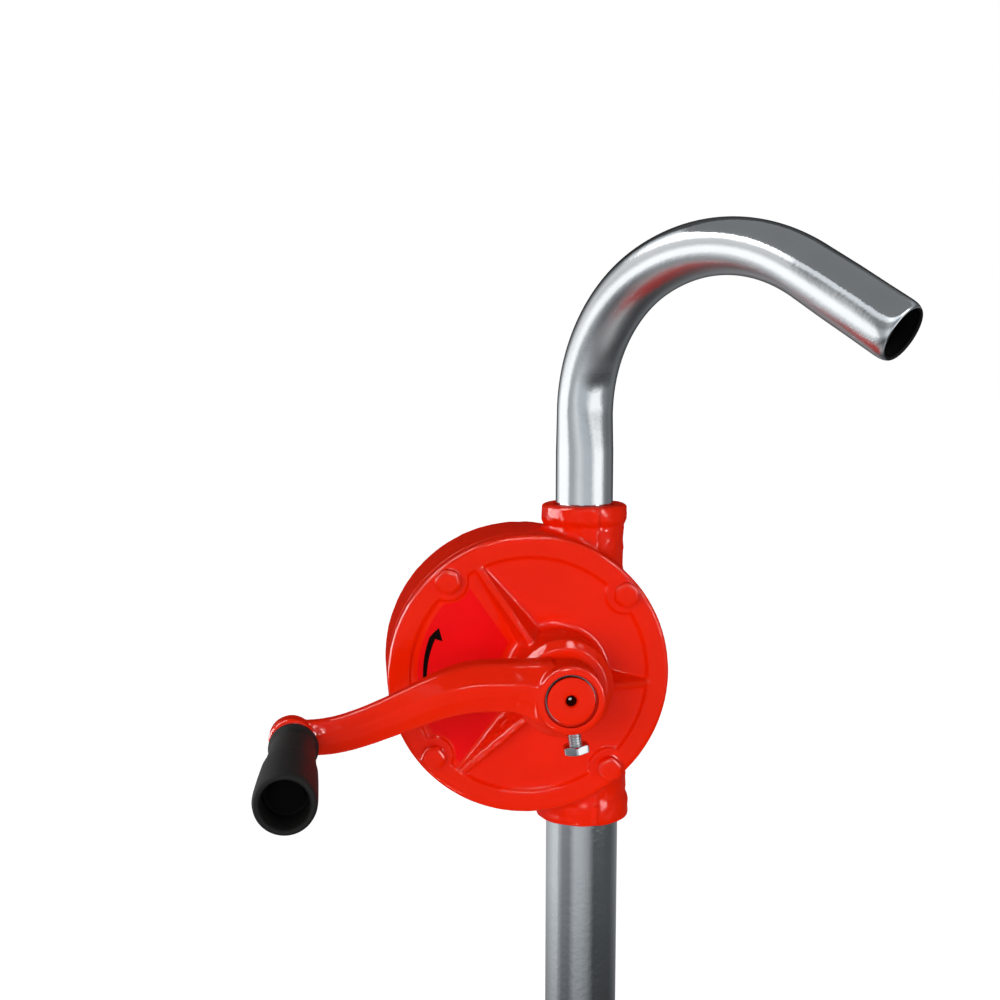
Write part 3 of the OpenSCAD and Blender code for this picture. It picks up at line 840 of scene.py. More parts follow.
sand_lumps = lumps_of("sand_lumps", 5, 2)
cover_casting = soften(
    copy_of_solid("front_cover", "cover_casting"), cell=0.62, rounds=2, lump=0.12
)
print("cover softened:", len(cover_casting.data.polygons), "faces")

# %% [markdown]
# The cover's lower rib is wrinkled, so its points are displaced by smaller and stronger
# lumps. The edge of the rim shows a wider highlight than the other edges, so it is rounder.
# Relaxing only the points near it for longer gives that radius.

# %% Rough rib and round rim of the cover
LOWER_RIB = Vector((-40.2, -41.0)).normalized()
RIB_FROM, RIB_TO, RIB_HALF, RIM_EDGE = 24, 57, 7.5, 2.2
cover_low, cover_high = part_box("front_cover")
COVER_RADIUS = (cover_high[0] - cover_low[0]) / 2 / MM


def on_lower_rib(c):
    """From the boss to the foot of the lower rib, and above the field beside it."""
    across, up, out = c.x - SHAFT_CENTRE.x / MM, c.z - HEAD_HEIGHT, COVER_CENTRE.y / MM - c.y
    along_rib = Vector((across, up)).dot(LOWER_RIB)
    beside_rib = abs(across * LOWER_RIB.y - up * LOWER_RIB.x)
    return out > -0.8 and RIB_FROM < along_rib < RIB_TO and beside_rib < RIB_HALF


def on_rim_edge(c):
    """The last millimetres of the rim, at its front."""
    from_axis = math.hypot(c.x - COVER_CENTRE.x / MM, c.z - HEAD_HEIGHT)
    return from_axis > COVER_RADIUS - RIM_EDGE and COVER_CENTRE.y / MM - c.y > -RIM_EDGE


rework(
    cover_casting, "lower_rib", on_lower_rib, "DISPLACE",
    texture=lumps_of("rib_lumps", 2.4, 2), strength=1.4 * MM, mid_level=0.5,
)
relax(cover_casting, 1)
rework(cover_casting, "rim_edge", on_rim_edge, "SMOOTH", factor=0.5, iterations=10)
print("rim edge rounded at radius", round(COVER_RADIUS, 1))
dress(cover_casting, red_enamel, "pump", "red_paint", ["front_cover"])

# %% [markdown]
# The casing's necks show how it was cast: the two halves of the mould met in a seam down the
# front of each neck, the sand left lumps there, and the necks run into the drum of the
# casing with a fillet. Before the softening, four small fins are added for the seam, one on
# each neck and one on each collar, and a turned cutter takes the waist out from under the
# upper collar. Then a group of points at the feet of the necks is relaxed for longer, and
# another round the necks is displaced more strongly.

# %% Rough necks of the casing
SEAM_TURN, SEAM_DEPTH, SEAM_WIDTH = math.radians(-81), 4, 1.6
SEAM_REACHES = [(18.3, 44, 63), (19.7, 62.5, 69.0), (20.3, -62, -48), (21.7, -69.0, -60.5)]
WAIST_RADIUS, WAIST_LOW, WAIST_HIGH, PAST_COLLAR = 17.2, 59.8, 62.5, 24

seams = []
for reach, low, high in SEAM_REACHES:
    clear_selection()
    bpy.ops.mesh.primitive_cube_add(size=1)
    seam = bpy.context.object
    edit_whole(seam)
    bpy.ops.transform.resize(
        value=(SEAM_DEPTH * MM, SEAM_WIDTH * MM, (high - low) * MM), center_override=(0, 0, 0)
    )
    bpy.ops.transform.translate(
        value=((reach - SEAM_DEPTH / 2) * MM, 0, (low + high) / 2 * MM)
    )
    pick("FACE", lambda c: c.x > reach - 0.1)
    bpy.ops.transform.resize(value=(1, 0.5, 1), center_override=(0, 0, 0))
    bpy.ops.object.mode_set(mode="OBJECT")
    seam.rotation_euler = (0, 0, SEAM_TURN)
    seams.append(settle(seam, "mould_seam", (0, 0, HEAD_HEIGHT * MM)))
casing_copy = copy_of_solid("pump_casing", "casing_casting")
merge_points(casing_copy)
undercut = turn_on_lathe([
    (WAIST_RADIUS, WAIST_LOW), (PAST_COLLAR, WAIST_LOW),
    (PAST_COLLAR, WAIST_HIGH), (WAIST_RADIUS, WAIST_HIGH),
], closed=True)
cut_with(casing_copy, settle(undercut, "collar_undercut", (0, 0, HEAD_HEIGHT * MM)))
casing_casting = soften(join([casing_copy] + seams), cell=0.87, rounds=3, lump=0.4)


def on_neck(c):
    """On the skin of either neck."""
    return 16.4 < math.hypot(c.x, c.y) < 23 and 50 < abs(c.z - HEAD_HEIGHT) < 66.5


def at_neck_foot(c):
    """Where a neck runs into the drum of the casing."""
    from_cover = math.hypot(c.x - COVER_CENTRE.x / MM, c.z - HEAD_HEIGHT)
    return math.hypot(c.x, c.y) < 24 and 58 < from_cover < 65 and c.y > -19


rework(casing_casting, "neck_foot", at_neck_foot, "SMOOTH", factor=0.5, iterations=8)
rework(
    casing_casting, "necks", on_neck, "DISPLACE",
    texture=lumps_of("neck_lumps", 6.5, 3), strength=1.3 * MM, mid_level=0.5,
)
relax(casing_casting, 1)
dress(casing_casting, rough_red_enamel, "pump", "red_paint", ["pump_casing"])

# %% [markdown]
# The crank is one casting: a hub on the shaft, a swan-neck arm with a ridge along its front,
# and an eye for the grip's spindle. The arm starts as a plane that is the section at the
# hub. Its front edge is divided in three and the points moved, so that the front has three
# facets with a ridge between them. Its corners are rounded, and the section is then drawn
# out in steps along the curve, moved and resized at each step.

# %% Arm of the crank
HUB_BACK, HUB_FACE, HUB_RADIUS = 28.7, 46.4, 14
EYE_BACK, EYE_FACE, EYE_RADIUS = 37.5, 46, 8.8
EYE_X, EYE_Y = GRIP_X - 1.0, GRIP_Y + 2.2
ARM_FACE, ARM_ROOT, ARM_STEPS = 44, 6, 26
ARM_MIDDLE, ARM_WIDE, ARM_NARROW, ARM_FLARE = 4.7, 9.6, 6.4, 3.5
# Points of the front edge between two heights, and how far they move up and forward.
RIDGE_MOVES = [(0, 6, -1.4, 1.9), (-6, 0, 0, 1.5), (6, 20, 0, -4.2), (-20, -6, 0, -0.6)]


def ease(value, start, end):
    """A smooth step from 0 at the start to 1 at the end."""
    t = min(1, max(0, (value - start) / (end - start)))
    return t * t * (3 - 2 * t)


def arm_section(reach):
    """The arm's middle height, half width and back, at a distance from the shaft."""
    flare = ARM_FLARE * (1 - ease(reach, 7, 24))
    middle = ARM_MIDDLE + (EYE_Y - ARM_MIDDLE) * ease(reach, 34, 102) - flare
    half = ARM_WIDE + (ARM_NARROW - ARM_WIDE) * ease(reach, 28, 121) + flare
    back = HUB_BACK + (EYE_BACK - HUB_BACK) * ease(reach, 36, 70)
    return middle, half, back


clear_selection()
middle, half, back = arm_section(ARM_ROOT)
depth = ARM_FACE - back
bpy.ops.mesh.primitive_plane_add(size=1, rotation=(0, math.radians(-90), 0))
arm = bpy.context.object
edit_whole(arm)
bpy.ops.transform.resize(value=(1, 2 * half * MM, depth * MM), center_override=(0, 0, 0))
bpy.ops.transform.translate(value=(-ARM_ROOT * MM, middle * MM, (back + depth / 2) * MM))
pick("EDGE", lambda c: c.z > ARM_FACE - 1)
bpy.ops.mesh.subdivide(number_cuts=2)
for low, high, up, forward in RIDGE_MOVES:
    pick("VERT", lambda c: c.z > ARM_FACE - 5 and low < c.y - middle < high)
    bpy.ops.transform.translate(value=(0, up * MM, forward * MM))
pick("VERT", lambda c: abs(c.y - middle) > 5)
bpy.ops.mesh.bevel(offset=1.8 * MM, segments=3, affect="VERTICES")
bpy.ops.mesh.select_mode(type="FACE")
bpy.ops.mesh.select_all(action="SELECT")
reach = ARM_ROOT
for step in range(1, ARM_STEPS + 1):
    next_reach = ARM_ROOT + (-GRIP_X - ARM_ROOT) * step / ARM_STEPS
    next_middle, next_half, next_back = arm_section(next_reach)
    next_depth = ARM_FACE - next_back
    centre = Vector((-next_reach, next_middle, next_back + next_depth / 2)) * MM
    old_centre = Vector((-reach, middle, back + depth / 2)) * MM
    bpy.ops.mesh.extrude_region_move(TRANSFORM_OT_translate={"value": centre - old_centre})
    bpy.ops.transform.resize(
        value=(1, next_half / half, next_depth / depth), center_override=centre
    )
    reach, middle, half, back, depth = next_reach, next_middle, next_half, next_back, next_depth
face_outwards()
settle(arm, "crank_casting")
print("arm drawn out to", round(reach, 1), "mm in", ARM_STEPS, "steps")

# %% [markdown]
# Hub and eye are turned and joined to the arm, and softening the three together gives the
# fillets. The eye was cast a little off its hole, as castings are, so its middle isn't the
# grip's axis. The bores are cut last, because they were drilled after casting and have the
# only crisp edges on the crank. The hub's face has a shallow recess round the shaft.

# %% Hub, eye and bores of the crank
SHAFT_BORE, FACE_RECESS, RECESS_FLOOR, SPINDLE_BORE = 10.02, 10.85, 44, 4.02

hub = turn_on_lathe([
    (HUB_RADIUS - 1.2, HUB_BACK), (HUB_RADIUS, HUB_BACK + 1.2), (HUB_RADIUS, HUB_FACE - 1.4),
    (HUB_RADIUS - 0.5, HUB_FACE - 0.4), (HUB_RADIUS - 1.6, HUB_FACE),
])
eye = turn_on_lathe([
    (EYE_RADIUS - 1, EYE_BACK), (EYE_RADIUS, EYE_BACK + 1), (EYE_RADIUS, EYE_FACE - 1.2),
    (EYE_RADIUS - 1.2, EYE_FACE),
])
settle(eye, "crank_eye", Vector((EYE_X, EYE_Y, 0)) * MM)
crank = soften(join([arm, hub, eye]), cell=0.5, rounds=4, lump=0.14)


def at_arm_root(c):
    """The upper corner between the arm and the hub."""
    return c.x < -5 and c.y > 1 and 11 < math.hypot(c.x, c.y) < 24 and c.z > 33


rework(crank, "arm_root", at_arm_root, "SMOOTH", factor=0.5, iterations=30)
cut_with(crank, turn_on_lathe([
    (SHAFT_BORE, HUB_BACK - 2), (SHAFT_BORE, RECESS_FLOOR - 0.2),
    (FACE_RECESS, RECESS_FLOOR), (FACE_RECESS, HUB_FACE + 2),
]))
spindle_bore = turn_on_lathe([(SPINDLE_BORE, EYE_BACK - 2), (SPINDLE_BORE, EYE_FACE + 2)])
cut_with(crank, settle(spindle_bore, "spindle_bore", Vector((GRIP_X, GRIP_Y, 0)) * MM))
# A second, narrower pass squares the corner at the recess's floor.
cut_with(crank, turn_on_lathe([
    (FACE_RECESS - 0.15, RECESS_FLOOR - 0.1), (FACE_RECESS - 0.15, RECESS_FLOOR + 3.5),
]))
settle(crank, "crank_casting", SHAFT_CENTRE, facing=True)
smooth_shaded(crank, 50)
dress(crank, red_enamel, "crank", "red_paint", ["crank_arm"])

# %% [markdown]
# The shaft was painted together with the pump, so its end carries a film of the same enamel,
# which runs over the edge and half fills the centre drill's hole. The film is one thin
# turned shell, a cap with a cup in its middle. The cup and the narrow groove round the edge
# are painted shade: a near-black enamel darkens them. The drill's point at the bottom of
# the cup is a bright spot, so the faces there take two more finishes, by their distance
# from the axis.

# %% Painted end of the shaft
SHAFT_END = 46.2
BRIGHT_POINT, SHADE_CUP, SHADE_EDGE = 0.6, 2.2, 9.54
film = turn_on_lathe([(radius, SHAFT_END + along) for radius, along in [
    (9.53, -2.3), (9.58, -2.3), (9.58, -0.3), (9.4, 0.15), (9.0, 0.3), (3.4, 0.3),
    (2.75, 0.1), (2.2, -0.85), (1.0, -3.15), (0.9, -4.3), (0.62, -4.45), (0.05, -4.45),
    (0.05, -4.6), (1.0, -4.5), (1.18, -3.3), (3.16, 0.04), (9.5, 0.04),
]], closed=True)
settle(film, "painted_shaft_end", SHAFT_CENTRE, facing=True)
smooth_shaded(film)
dress(film, red_enamel, "crank", "red_paint")
# The second finish is painted shade for the cup and the groove round the edge; the third,
# plating, is the drill's point.
film.data.materials.append(hole_shade_enamel)
film.data.materials.append(screw_plating)
for face in film.data.polygons:
    from_axis = math.hypot(*((face.center - SHAFT_CENTRE) / MM).xz)
    dark = from_axis < SHADE_CUP or from_axis > SHADE_EDGE
    face.material_index = 2 if from_axis < BRIGHT_POINT else int(dark)

# %% [markdown]
# The grip is a turned-looking moulding that spins on the spindle: a flange against the eye,
# a narrow neck, a long cone, a faint shoulder where the mould was split, and a bulged end
# with a deep recess that hides the spindle's head. One closed outline gives the whole wall.

# %% Grip
GRIP_BASE = 46.6
grip = turn_on_lathe([(radius, GRIP_BASE + along) for radius, along in [
    (4.08, 0), (9.3, 0), (9.7, 0.25), (9.8, 0.8), (9.8, 2.8), (9.6, 3.5), (9.0, 4.6),
    (8.68, 5.6), (8.6, 7), (8.72, 10), (9.1, 18), (9.6, 27), (10.05, 34.2), (10.12, 35.2),
    (10.42, 35.9), (10.5, 36.8), (10.72, 42), (11.05, 52), (11.3, 62), (11.4, 67),
    (11.36, 69.6), (11.1, 71.4), (10.6, 72.5), (10.0, 73), (9.4, 72.9), (8.95, 72.4),
    (8.65, 71.4), (8.5, 70), (8.5, 58.4), (8.3, 57.6), (7.8, 57.4), (4.08, 57.4),
]], sides=80, closed=True)
settle(grip, "grip_moulding", SHAFT_CENTRE + Vector((GRIP_X, 0, GRIP_Y)) * MM, facing=True)
smooth_shaded(grip, 50)
dress(grip, grip_plastic, "grip", "grip_plastic", ["grip"])

# %% [markdown]
# Four hexagon screws hold the cover. They were painted in place, so their corners are round
# with enamel and a fillet of paint runs round each seat. One is modelled from a six-sided
# bar with beveled edges and then copied to the other three places, each turned a little
# further, because no two screws stop at the same angle.

# %% Painted cover bolts
BOLT_ANGLES = [40, 130, 220, 310]
BOLT_CIRCLE, BOLT_HEAD, BOLT_STOP = 53.5, 3.6, 17
HEX_CORNER = 10 / math.sqrt(3)
clear_selection()
bpy.ops.mesh.primitive_cylinder_add(
    vertices=6, radius=HEX_CORNER * MM, depth=BOLT_HEAD * MM,
    location=(0, 0, BOLT_HEAD / 2 * MM),
)
head = bpy.context.object
bpy.ops.object.mode_set(mode="EDIT")
pick("EDGE", lambda c: abs(c.z - BOLT_HEAD / 2) < 0.1)
bpy.ops.mesh.bevel(offset=1.5 * MM, segments=4, affect="EDGES")
pick("FACE", lambda c: c.z > BOLT_HEAD - 0.1)
bpy.ops.mesh.inset(thickness=1.4 * MM)
bpy.ops.transform.translate(value=(0, 0, 0.8 * MM))
bpy.ops.object.mode_set(mode="OBJECT")
round_edges(head, 0.45, 3, 20)
settle(head, "bolt_head")
shank = turn_on_lathe([
    (2.9, -22), (2.9, 0.5), (5.2, 0.5), (5.4, 0.2), (5.75, 0.02), (5.75, -0.02),
], sides=40)
bolt = join([head, shank])
bolts = []
for number, angle in enumerate(BOLT_ANGLES):
    copy = bolt.copy()
    copy.data = bolt.data.copy()
    scene.collection.objects.link(copy)
    copy.rotation_euler = (0, 0, math.radians(BOLT_STOP * number))
    settle(copy, "one_bolt")
    turn = math.radians(angle)
    seat = Vector((math.cos(turn), math.sin(turn), 0)) * BOLT_CIRCLE * MM
    settle(copy, f"cover_bolt_{number}", seat)
    settle(copy, f"cover_bolt_{number}", COVER_CENTRE, facing=True)
    smooth_shaded(copy, 60)
    bolts.append(copy)
bpy.data.objects.remove(bolt)
for copy in bolts:
    dress(copy, red_enamel, "pump", "red_paint", ["cover_bolts"])

# %% [markdown]
# The set screw that clamps the crank is a plain zinc-plated hexagon screw, fitted after
# painting. Its thread shows between the hub and the head, as rings of the right pitch. The
# head's corners are cut back by a turned cutter, as a real one's are on the lathe.

# %% Set screw
SCREW_LEVEL, SCREW_TURNS, SCREW_FROM = 38, 11, 9.3
SCREW_HEAD, SCREW_HEAD_MIDDLE = 3.5, 21.65
THREAD_ROOT, THREAD_CREST = 2.45, 2.95
thread = []
for turn_number in range(SCREW_TURNS):
    low = SCREW_FROM + turn_number
    thread += [(THREAD_ROOT, low), (THREAD_CREST, low + 0.4), (THREAD_CREST, low + 0.55)]
stem = turn_on_lathe(thread + [(THREAD_ROOT, 20.4), (THREAD_ROOT, 20.6)], sides=40)
clear_selection()
bpy.ops.mesh.primitive_cylinder_add(
    vertices=6, radius=HEX_CORNER * MM, depth=SCREW_HEAD * MM,
    location=(0, 0, SCREW_HEAD_MIDDLE * MM), rotation=(0, 0, math.radians(30)),
)
screw_head = bpy.context.object
bpy.ops.object.mode_set(mode="EDIT")
bpy.ops.mesh.select_all(action="SELECT")
bpy.ops.mesh.bevel(offset=0.35 * MM, segments=2, affect="EDGES")
bpy.ops.object.mode_set(mode="OBJECT")
settle(screw_head, "set_screw_head")
chamfer = turn_on_lathe([(4.8, 19.85), (5.6, 20.4), (5.6, 22.9), (4.7, 23.45)], sides=48)
cut_with(screw_head, chamfer, operation="INTERSECT")
set_screw = join([stem, screw_head])
set_screw.rotation_euler = (0, math.radians(90), 0)
settle(set_screw, "set_screw")
set_screw.rotation_euler = (0, 0, CRANK_ANGLE + math.radians(90))
settle(set_screw, "set_screw", Vector((0, 0, SCREW_LEVEL)) * MM)
settle(set_screw, "set_screw", SHAFT_CENTRE, facing=True)
smooth_shaded(set_screw, 30)
dress(set_screw, screw_plating, "crank", "plated_steel", ["crank_set_screw"])

# %% [markdown]
# The spout is a straight tube bent cold round a former. It is made the same way: a circle is
# drawn up to the start of the bend, spun round the bend's centre and then round a second
# centre further in, because the bend opens out towards the mouth. Cold bending flattens a
# tube, so the circle is pressed a little oval before it is spun, and pressed round again in
# the straight end. The mouth is cut at a slant, so the sections before it lean, and the
# last millimetres are drawn in, as a deburred tube end is.

# %% Spout
SPOUT_RADIUS, SPOUT_SWING = 12.5, 53.7
FIRST_BEND, FIRST_SWEEP = 67, math.radians(63.6)
SECOND_BEND, SECOND_SWEEP = 86, math.radians(55.8)
LEG_START, BEND_START, TAIL = 419, 473.5, 47
LEG_STEPS, PRESSED_STEPS = 14, 4
OVAL_IN, OVAL_OUT = 0.90, 1.04
ROUND_AGAIN, ROUNDER, FLATTER = 16, 1.008, 0.988
# Sections of the straight end: place along it, size, and lean in degrees.
TAIL_SECTIONS = [
    (4, 1, 0), (8, 1, 0), (12, 1, 0), (ROUND_AGAIN, 1, 0), (30, 1, 0), (35, 1, -4), (39, 1, -4),
    (42, 0.998, -4), (44, 0.988, -3), (45.2, 0.968, -2), (46, 0.945, -1), (46.6, 0.92, 0),
    (TAIL, 0.89, 0),
]


def on_bend(centre, radius, turned):
    """A point on a bend in the spout's own plane, X outwards and Z up."""
    return centre + Vector((-math.cos(turned), 0, math.sin(turned))) * radius


first_centre = Vector((FIRST_BEND, 0, BEND_START))
second_centre = on_bend(first_centre, FIRST_BEND - SECOND_BEND, FIRST_SWEEP)
full_sweep = FIRST_SWEEP + SECOND_SWEEP
bend_end = on_bend(second_centre, SECOND_BEND, full_sweep)
along = Vector((math.sin(full_sweep), 0, math.cos(full_sweep)))
outwards = (bend_end - second_centre).normalized()

clear_selection()
bpy.ops.mesh.primitive_circle_add(
    vertices=96, radius=SPOUT_RADIUS * MM, location=(0, 0, LEG_START * MM)
)
spout = bpy.context.object
edit_whole(spout)
rise = (BEND_START - LEG_START) / LEG_STEPS
for step in range(LEG_STEPS):
    bpy.ops.mesh.extrude_region_move(TRANSFORM_OT_translate={"value": (0, 0, rise * MM)})
    if step >= LEG_STEPS - PRESSED_STEPS:
        bpy.ops.transform.resize(
            value=(OVAL_IN ** (1 / PRESSED_STEPS), OVAL_OUT ** (1 / PRESSED_STEPS), 1),
            center_override=(0, 0, 0),
        )
bpy.ops.mesh.spin(steps=44, angle=-FIRST_SWEEP, center=first_centre * MM, axis=(0, 1, 0))
bpy.ops.mesh.spin(steps=44, angle=-SECOND_SWEEP, center=second_centre * MM, axis=(0, 1, 0))
section_axes = (outwards, Vector((0, 1, 0)), along)
reach, size = 0, 1
for next_reach, next_size, lean in TAIL_SECTIONS:
    middle = (bend_end + along * next_reach) * MM
    bpy.ops.mesh.extrude_region_move(
        TRANSFORM_OT_translate={"value": along * (next_reach - reach) * MM}
    )
    ratio = next_size / size
    pressed = (ROUNDER, FLATTER) if next_reach <= ROUND_AGAIN else (1, 1)
    bpy.ops.transform.resize(
        value=(ratio * pressed[0], ratio * pressed[1], ratio), orient_type="GLOBAL",
        orient_matrix=section_axes, orient_matrix_type="GLOBAL", center_override=middle,
    )
    if lean:
        bpy.ops.transform.rotate(
            value=math.radians(lean), orient_axis="X", orient_type="GLOBAL",
            orient_matrix=section_axes, orient_matrix_type="GLOBAL", center_override=middle,
        )
    reach, size = next_reach, next_size
face_outwards(weld=True)
print("spout reaches", [round(x / MM, 1) for x in spout.dimensions], "mm before its swing")

# %% [markdown]
# The bender's clamp leaves a shallow flat on the inside where the bend starts. A few points
# there are pushed in, and proportional editing carries their neighbours along smoothly. The
# inside of the bend, and of the straight end after it, is where the skin was crushed. How
# far a point lies to that side is worked out in the plane of the bend, and kept as an
# attribute, which the plating turns into haze. It fades in over the first part of the bend.

# %% Clamp mark and crushed inside of the bend
CLAMP_MARK = Vector((12.0, -3.5, 483))
choose(spout)
bpy.ops.object.mode_set(mode="EDIT")
pick("VERT", lambda c: (c - CLAMP_MARK).length < 4)
bpy.ops.transform.translate(
    value=(-0.6 * MM, 0.2 * MM, 0), use_proportional_edit=True,
    proportional_edit_falloff="SMOOTH", proportional_size=9 * MM,
)
bpy.ops.object.mode_set(mode="OBJECT")
inside = spout.data.attributes.new("inside_of_bend", "FLOAT", "POINT")
for point, mark in zip(spout.data.vertices, inside.data):
    flat = (spout.matrix_world @ point.co) / MM
    flat.y = 0
    turned = math.atan2(flat.z - BEND_START, FIRST_BEND - flat.x)
    if turned < FIRST_SWEEP:
        inward = FIRST_BEND - (flat - first_centre).length
    elif (flat - bend_end).dot(along) < 0:
        inward = SECOND_BEND - (flat - second_centre).length
    else:
        inward = (bend_end - flat).dot(outwards)
    mark.value = ease(inward, -1, 6) * ease(flat.z, BEND_START + 4, BEND_START + 22)
dulled = sum(mark.value > 0.5 for mark in inside.data)
print("inside of the bend:", dulled, "of", len(inside.data), "points dulled by half or more")

# %% [markdown]
# So far the spout is a skin without thickness, in the plane of its bend. It is swung to its
# place, and a wall is given to it, whose inside and rim take the finish of the bore: scaled
# steel drawn near black, painted shade for the inside of the tube.

# %% Swing, wall and plating of the spout
SPOUT_WALL = 1.2
spout.rotation_euler = (0, 0, math.radians(-SPOUT_SWING))
settle(spout, "spout_tube")
smooth_shaded(spout, 60)
spout.data.materials.append(bend_plating)
spout.data.materials.append(bore_scale_and_shade)
finish_with(
    spout, "SOLIDIFY", thickness=SPOUT_WALL * MM, offset=-1, material_offset=1,
    material_offset_rim=1, use_even_offset=True,
)
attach(spout, "pump")
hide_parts("discharge_spout")
print(spout.name, "rides on pump with", len(spout.data.polygons), "faces")

# %% [markdown]
# A thin red vinyl sticker lies on the field between the two left ribs, a shade pinker than
# the enamel, with a printed arrow for the direction of turning. The sticker starts as a
# filled circle. Two bisections along the ribs leave a sector, it is given a thickness that
# sinks a little into the enamel, and turned cutters take out the room for the boss and for
# the two bolt bosses.

# %% Sticker
FIELD_LEVEL, STICKER_OUTER = -1.5, 47.5
STICKER_SINKS, STICKER_THICKNESS = 0.15, 0.32
RIB_FEET = [((-17.5, 26.7), (-0.82, -0.57)), ((-27.4, -34.7), (-0.80, 0.60))]
BOSS_ROOM = [(24.5, 11.5, 0), (9.8, -34.4, 41.0), (9.8, -41.0, -34.4)]
clear_selection()
bpy.ops.mesh.primitive_circle_add(
    vertices=128, radius=STICKER_OUTER * MM, fill_type="NGON", location=(0, 0, FIELD_LEVEL * MM)
)
sticker = bpy.context.object
bpy.ops.object.mode_set(mode="EDIT")
for (x, y), (across, up) in RIB_FEET:
    bpy.ops.mesh.select_all(action="SELECT")
    bpy.ops.mesh.bisect(
        plane_co=(x * MM, y * MM, FIELD_LEVEL * MM), plane_no=(across, up, 0),
        clear_inner=True, threshold=SAME_PLACE,
    )
bpy.ops.mesh.select_all(action="SELECT")
bpy.ops.transform.translate(value=(0, 0, -STICKER_SINKS * MM))
bpy.ops.mesh.extrude_region_move(
    TRANSFORM_OT_translate={"value": (0, 0, STICKER_THICKNESS * MM)}
)
face_outwards()
settle(sticker, "sticker")
for cutter_radius, x, y in BOSS_ROOM:
    cutter = turn_on_lathe([(cutter_radius, FIELD_LEVEL - 2), (cutter_radius, FIELD_LEVEL + 2)])
    cut_with(sticker, settle(cutter, "sticker_cutter", Vector((x, y, 0)) * MM))
settle(sticker, "vinyl_sticker", COVER_CENTRE, facing=True)
dress(sticker, red_vinyl, "pump", "red_paint")

# %% [markdown]
# The arrow is printed ink. A small square is the start of its tail. One edge is spun on in
# short steps about the cover's centre and widened at each, and the head is a wider edge,
# turned a little, drawn together to a point. A thickness of 0.04 mm makes it a closed film.

# %% Arrow
ARROW_RADIUS, ARROW_FROM, ARROW_TO, ARROW_STEPS = 44.2, 202, 159.5, 16
TAIL_HALF, ARROW_GROWTH, BARB_HALF, BARB_TURN = 0.35, 0.9, 2.7, math.radians(25)
BARB_RADIUS, TIP_RADIUS, TIP_ANGLE = 43.2, 44.36, 154.6
INK_LEVEL, INK_THICKNESS = FIELD_LEVEL + 0.19, 0.04


def on_cover(radius, degrees):
    """A point on the sticker, by its distance and angle from the cover's centre."""
    turn = math.radians(degrees)
    return Vector((radius * math.cos(turn), radius * math.sin(turn), INK_LEVEL))


clear_selection()
half_width = TAIL_HALF
tail_middle = on_cover(ARROW_RADIUS, ARROW_FROM)
bpy.ops.mesh.primitive_plane_add(
    size=2 * half_width * MM, location=tail_middle * MM,
    rotation=(0, 0, math.radians(ARROW_FROM)),
)
arrow = settle(bpy.context.object, "turning_arrow")
bpy.ops.object.mode_set(mode="EDIT")
forward = Vector((math.sin(math.radians(ARROW_FROM)), -math.cos(math.radians(ARROW_FROM)), 0))
pick("EDGE", lambda c: (c - tail_middle).dot(forward) > 0.5 * half_width)
for step in range(1, ARROW_STEPS + 1):
    bpy.ops.mesh.spin(
        steps=1, angle=math.radians((ARROW_FROM - ARROW_TO) / ARROW_STEPS),
        center=(0, 0, INK_LEVEL * MM), axis=(0, 0, 1),
    )
    next_half = TAIL_HALF + ARROW_GROWTH * step / ARROW_STEPS
    ratio = next_half / half_width
    centre = on_cover(ARROW_RADIUS, ARROW_FROM + (ARROW_TO - ARROW_FROM) * step / ARROW_STEPS)
    bpy.ops.transform.resize(value=(ratio, ratio, 1), center_override=centre * MM)
    half_width = next_half
bpy.ops.mesh.extrude_region_move(TRANSFORM_OT_translate={"value": (0, 0, 0)})
ratio = BARB_HALF / half_width
bpy.ops.transform.resize(value=(ratio, ratio, 1), center_override=centre * MM)
bpy.ops.transform.rotate(value=BARB_TURN, orient_axis="Z", center_override=centre * MM)
barb_middle = on_cover(BARB_RADIUS, ARROW_TO)
bpy.ops.transform.translate(value=(barb_middle - centre) * MM)
tip = on_cover(TIP_RADIUS, TIP_ANGLE) - barb_middle
bpy.ops.mesh.extrude_region_move(TRANSFORM_OT_translate={"value": tip * MM})
bpy.ops.mesh.merge(type="CENTER")
bpy.ops.mesh.select_all(action="SELECT")
bpy.ops.mesh.remove_doubles(threshold=2 * SAME_PLACE)
bpy.ops.mesh.extrude_region_move(TRANSFORM_OT_translate={"value": (0, 0, INK_THICKNESS * MM)})
face_outwards()
settle(arrow, "turning_arrow", COVER_CENTRE, facing=True)
dress(arrow, black_ink, "pump", "rubber")

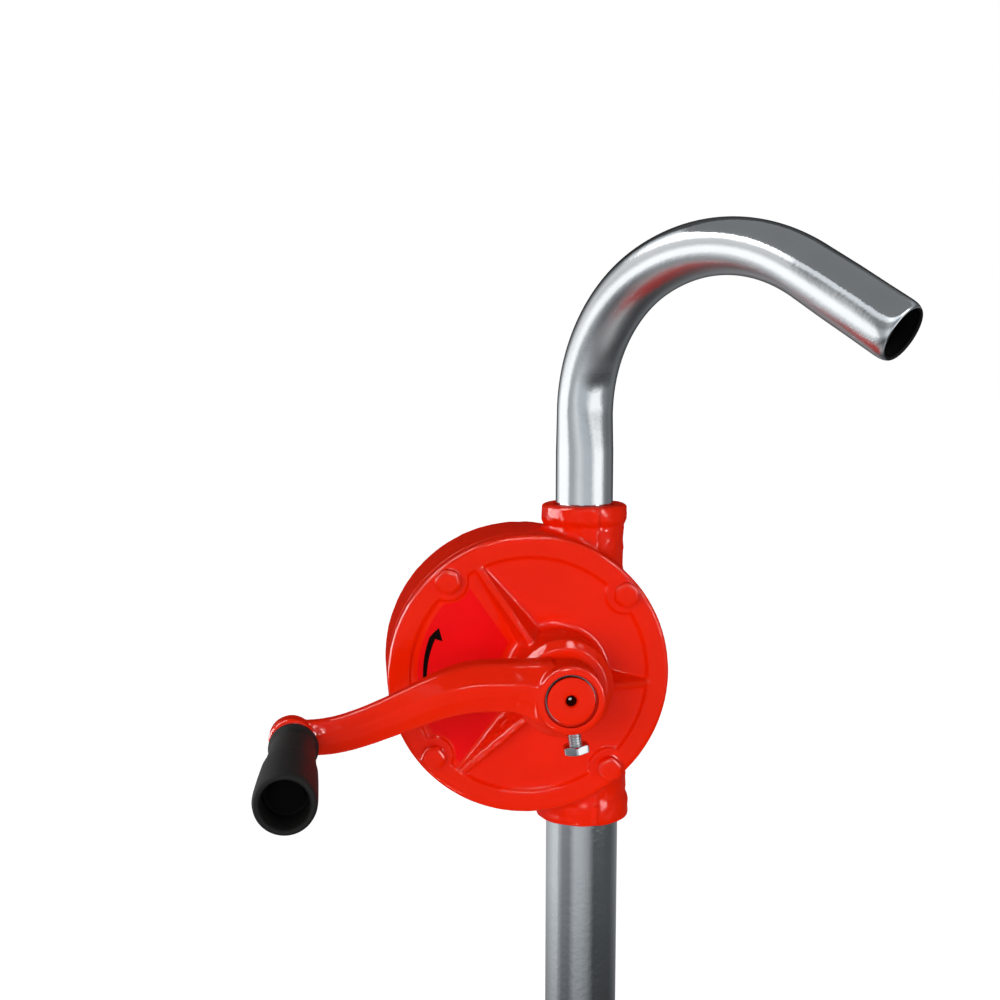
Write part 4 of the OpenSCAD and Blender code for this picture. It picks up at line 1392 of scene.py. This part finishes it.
# %% [markdown]
# The bung adapter is a moulding that screws into the drum's bung. The photograph shows it
# too small for a thread to be seen, so it gets the usual one of a 2 inch bung, with eleven
# turns to the inch, which is a pitch of 2.309 mm. A small triangle is drawn along a helix by
# the Screw modifier, its two ends are closed, and it is cut out of the plain cylinder of a
# copy of the solid.

# %% Bung adapter with its thread
PITCH, CREST, THREAD_LOW, THREAD_TURNS, THREAD_STEPS = 2.309, 29.8, -14.6, 8, 72
GROOVE_SIZE, GROOVE_CLEAR = 1.25, 0.05
clear_selection()
bpy.ops.mesh.primitive_circle_add(
    vertices=3, radius=GROOVE_SIZE * MM, rotation=(math.radians(90), 0, 0)
)
groove = settle(bpy.context.object, "thread_groove")
edit_whole(groove)
bpy.ops.transform.rotate(value=math.radians(90), orient_axis="Y", center_override=(0, 0, 0))
bpy.ops.transform.translate(value=((CREST - GROOVE_CLEAR) * MM, 0, THREAD_LOW * MM))
bpy.ops.object.mode_set(mode="OBJECT")
finish_with(
    groove, "SCREW", axis="Z", angle=math.radians(360), screw_offset=PITCH * MM,
    iterations=THREAD_TURNS, steps=THREAD_STEPS, render_steps=THREAD_STEPS,
)
edit_whole(groove)
bpy.ops.mesh.remove_doubles(threshold=SAME_PLACE)
bpy.ops.mesh.fill_holes(sides=3)
face_outwards()


def merged_copy(node_name, name):
    """A copy of a solid whose loose triangles are merged and whose flat faces are whole."""
    piece = copy_of_solid(node_name, name)
    edit_whole(piece)
    bpy.ops.mesh.remove_doubles(threshold=SAME_PLACE)
    bpy.ops.mesh.dissolve_limited(angle_limit=math.radians(0.5))
    bpy.ops.object.mode_set(mode="OBJECT")
    return piece


adapter = merged_copy("bung_adapter", "threaded_adapter")
cut_with(adapter, groove)
round_edges(adapter, 0.35, 2, 50)
smooth_shaded(adapter, 40)
dress(adapter, adapter_plastic, "bung_adapter", "adapter_plastic", ["bung_adapter"])

# %% [markdown]
# The strainer at the foot is a moulding too. Its solid only lacks the small radius that
# every moulded edge has, so a merged copy gets a bevel on its sharp edges.

# %% Foot strainer
strainer = merged_copy("foot_strainer", "moulded_strainer")
round_edges(strainer, 0.45, 2, 45)
smooth_shaded(strainer, 40)
dress(strainer, strainer_plastic, "pump", "strainer_plastic", ["foot_strainer"])
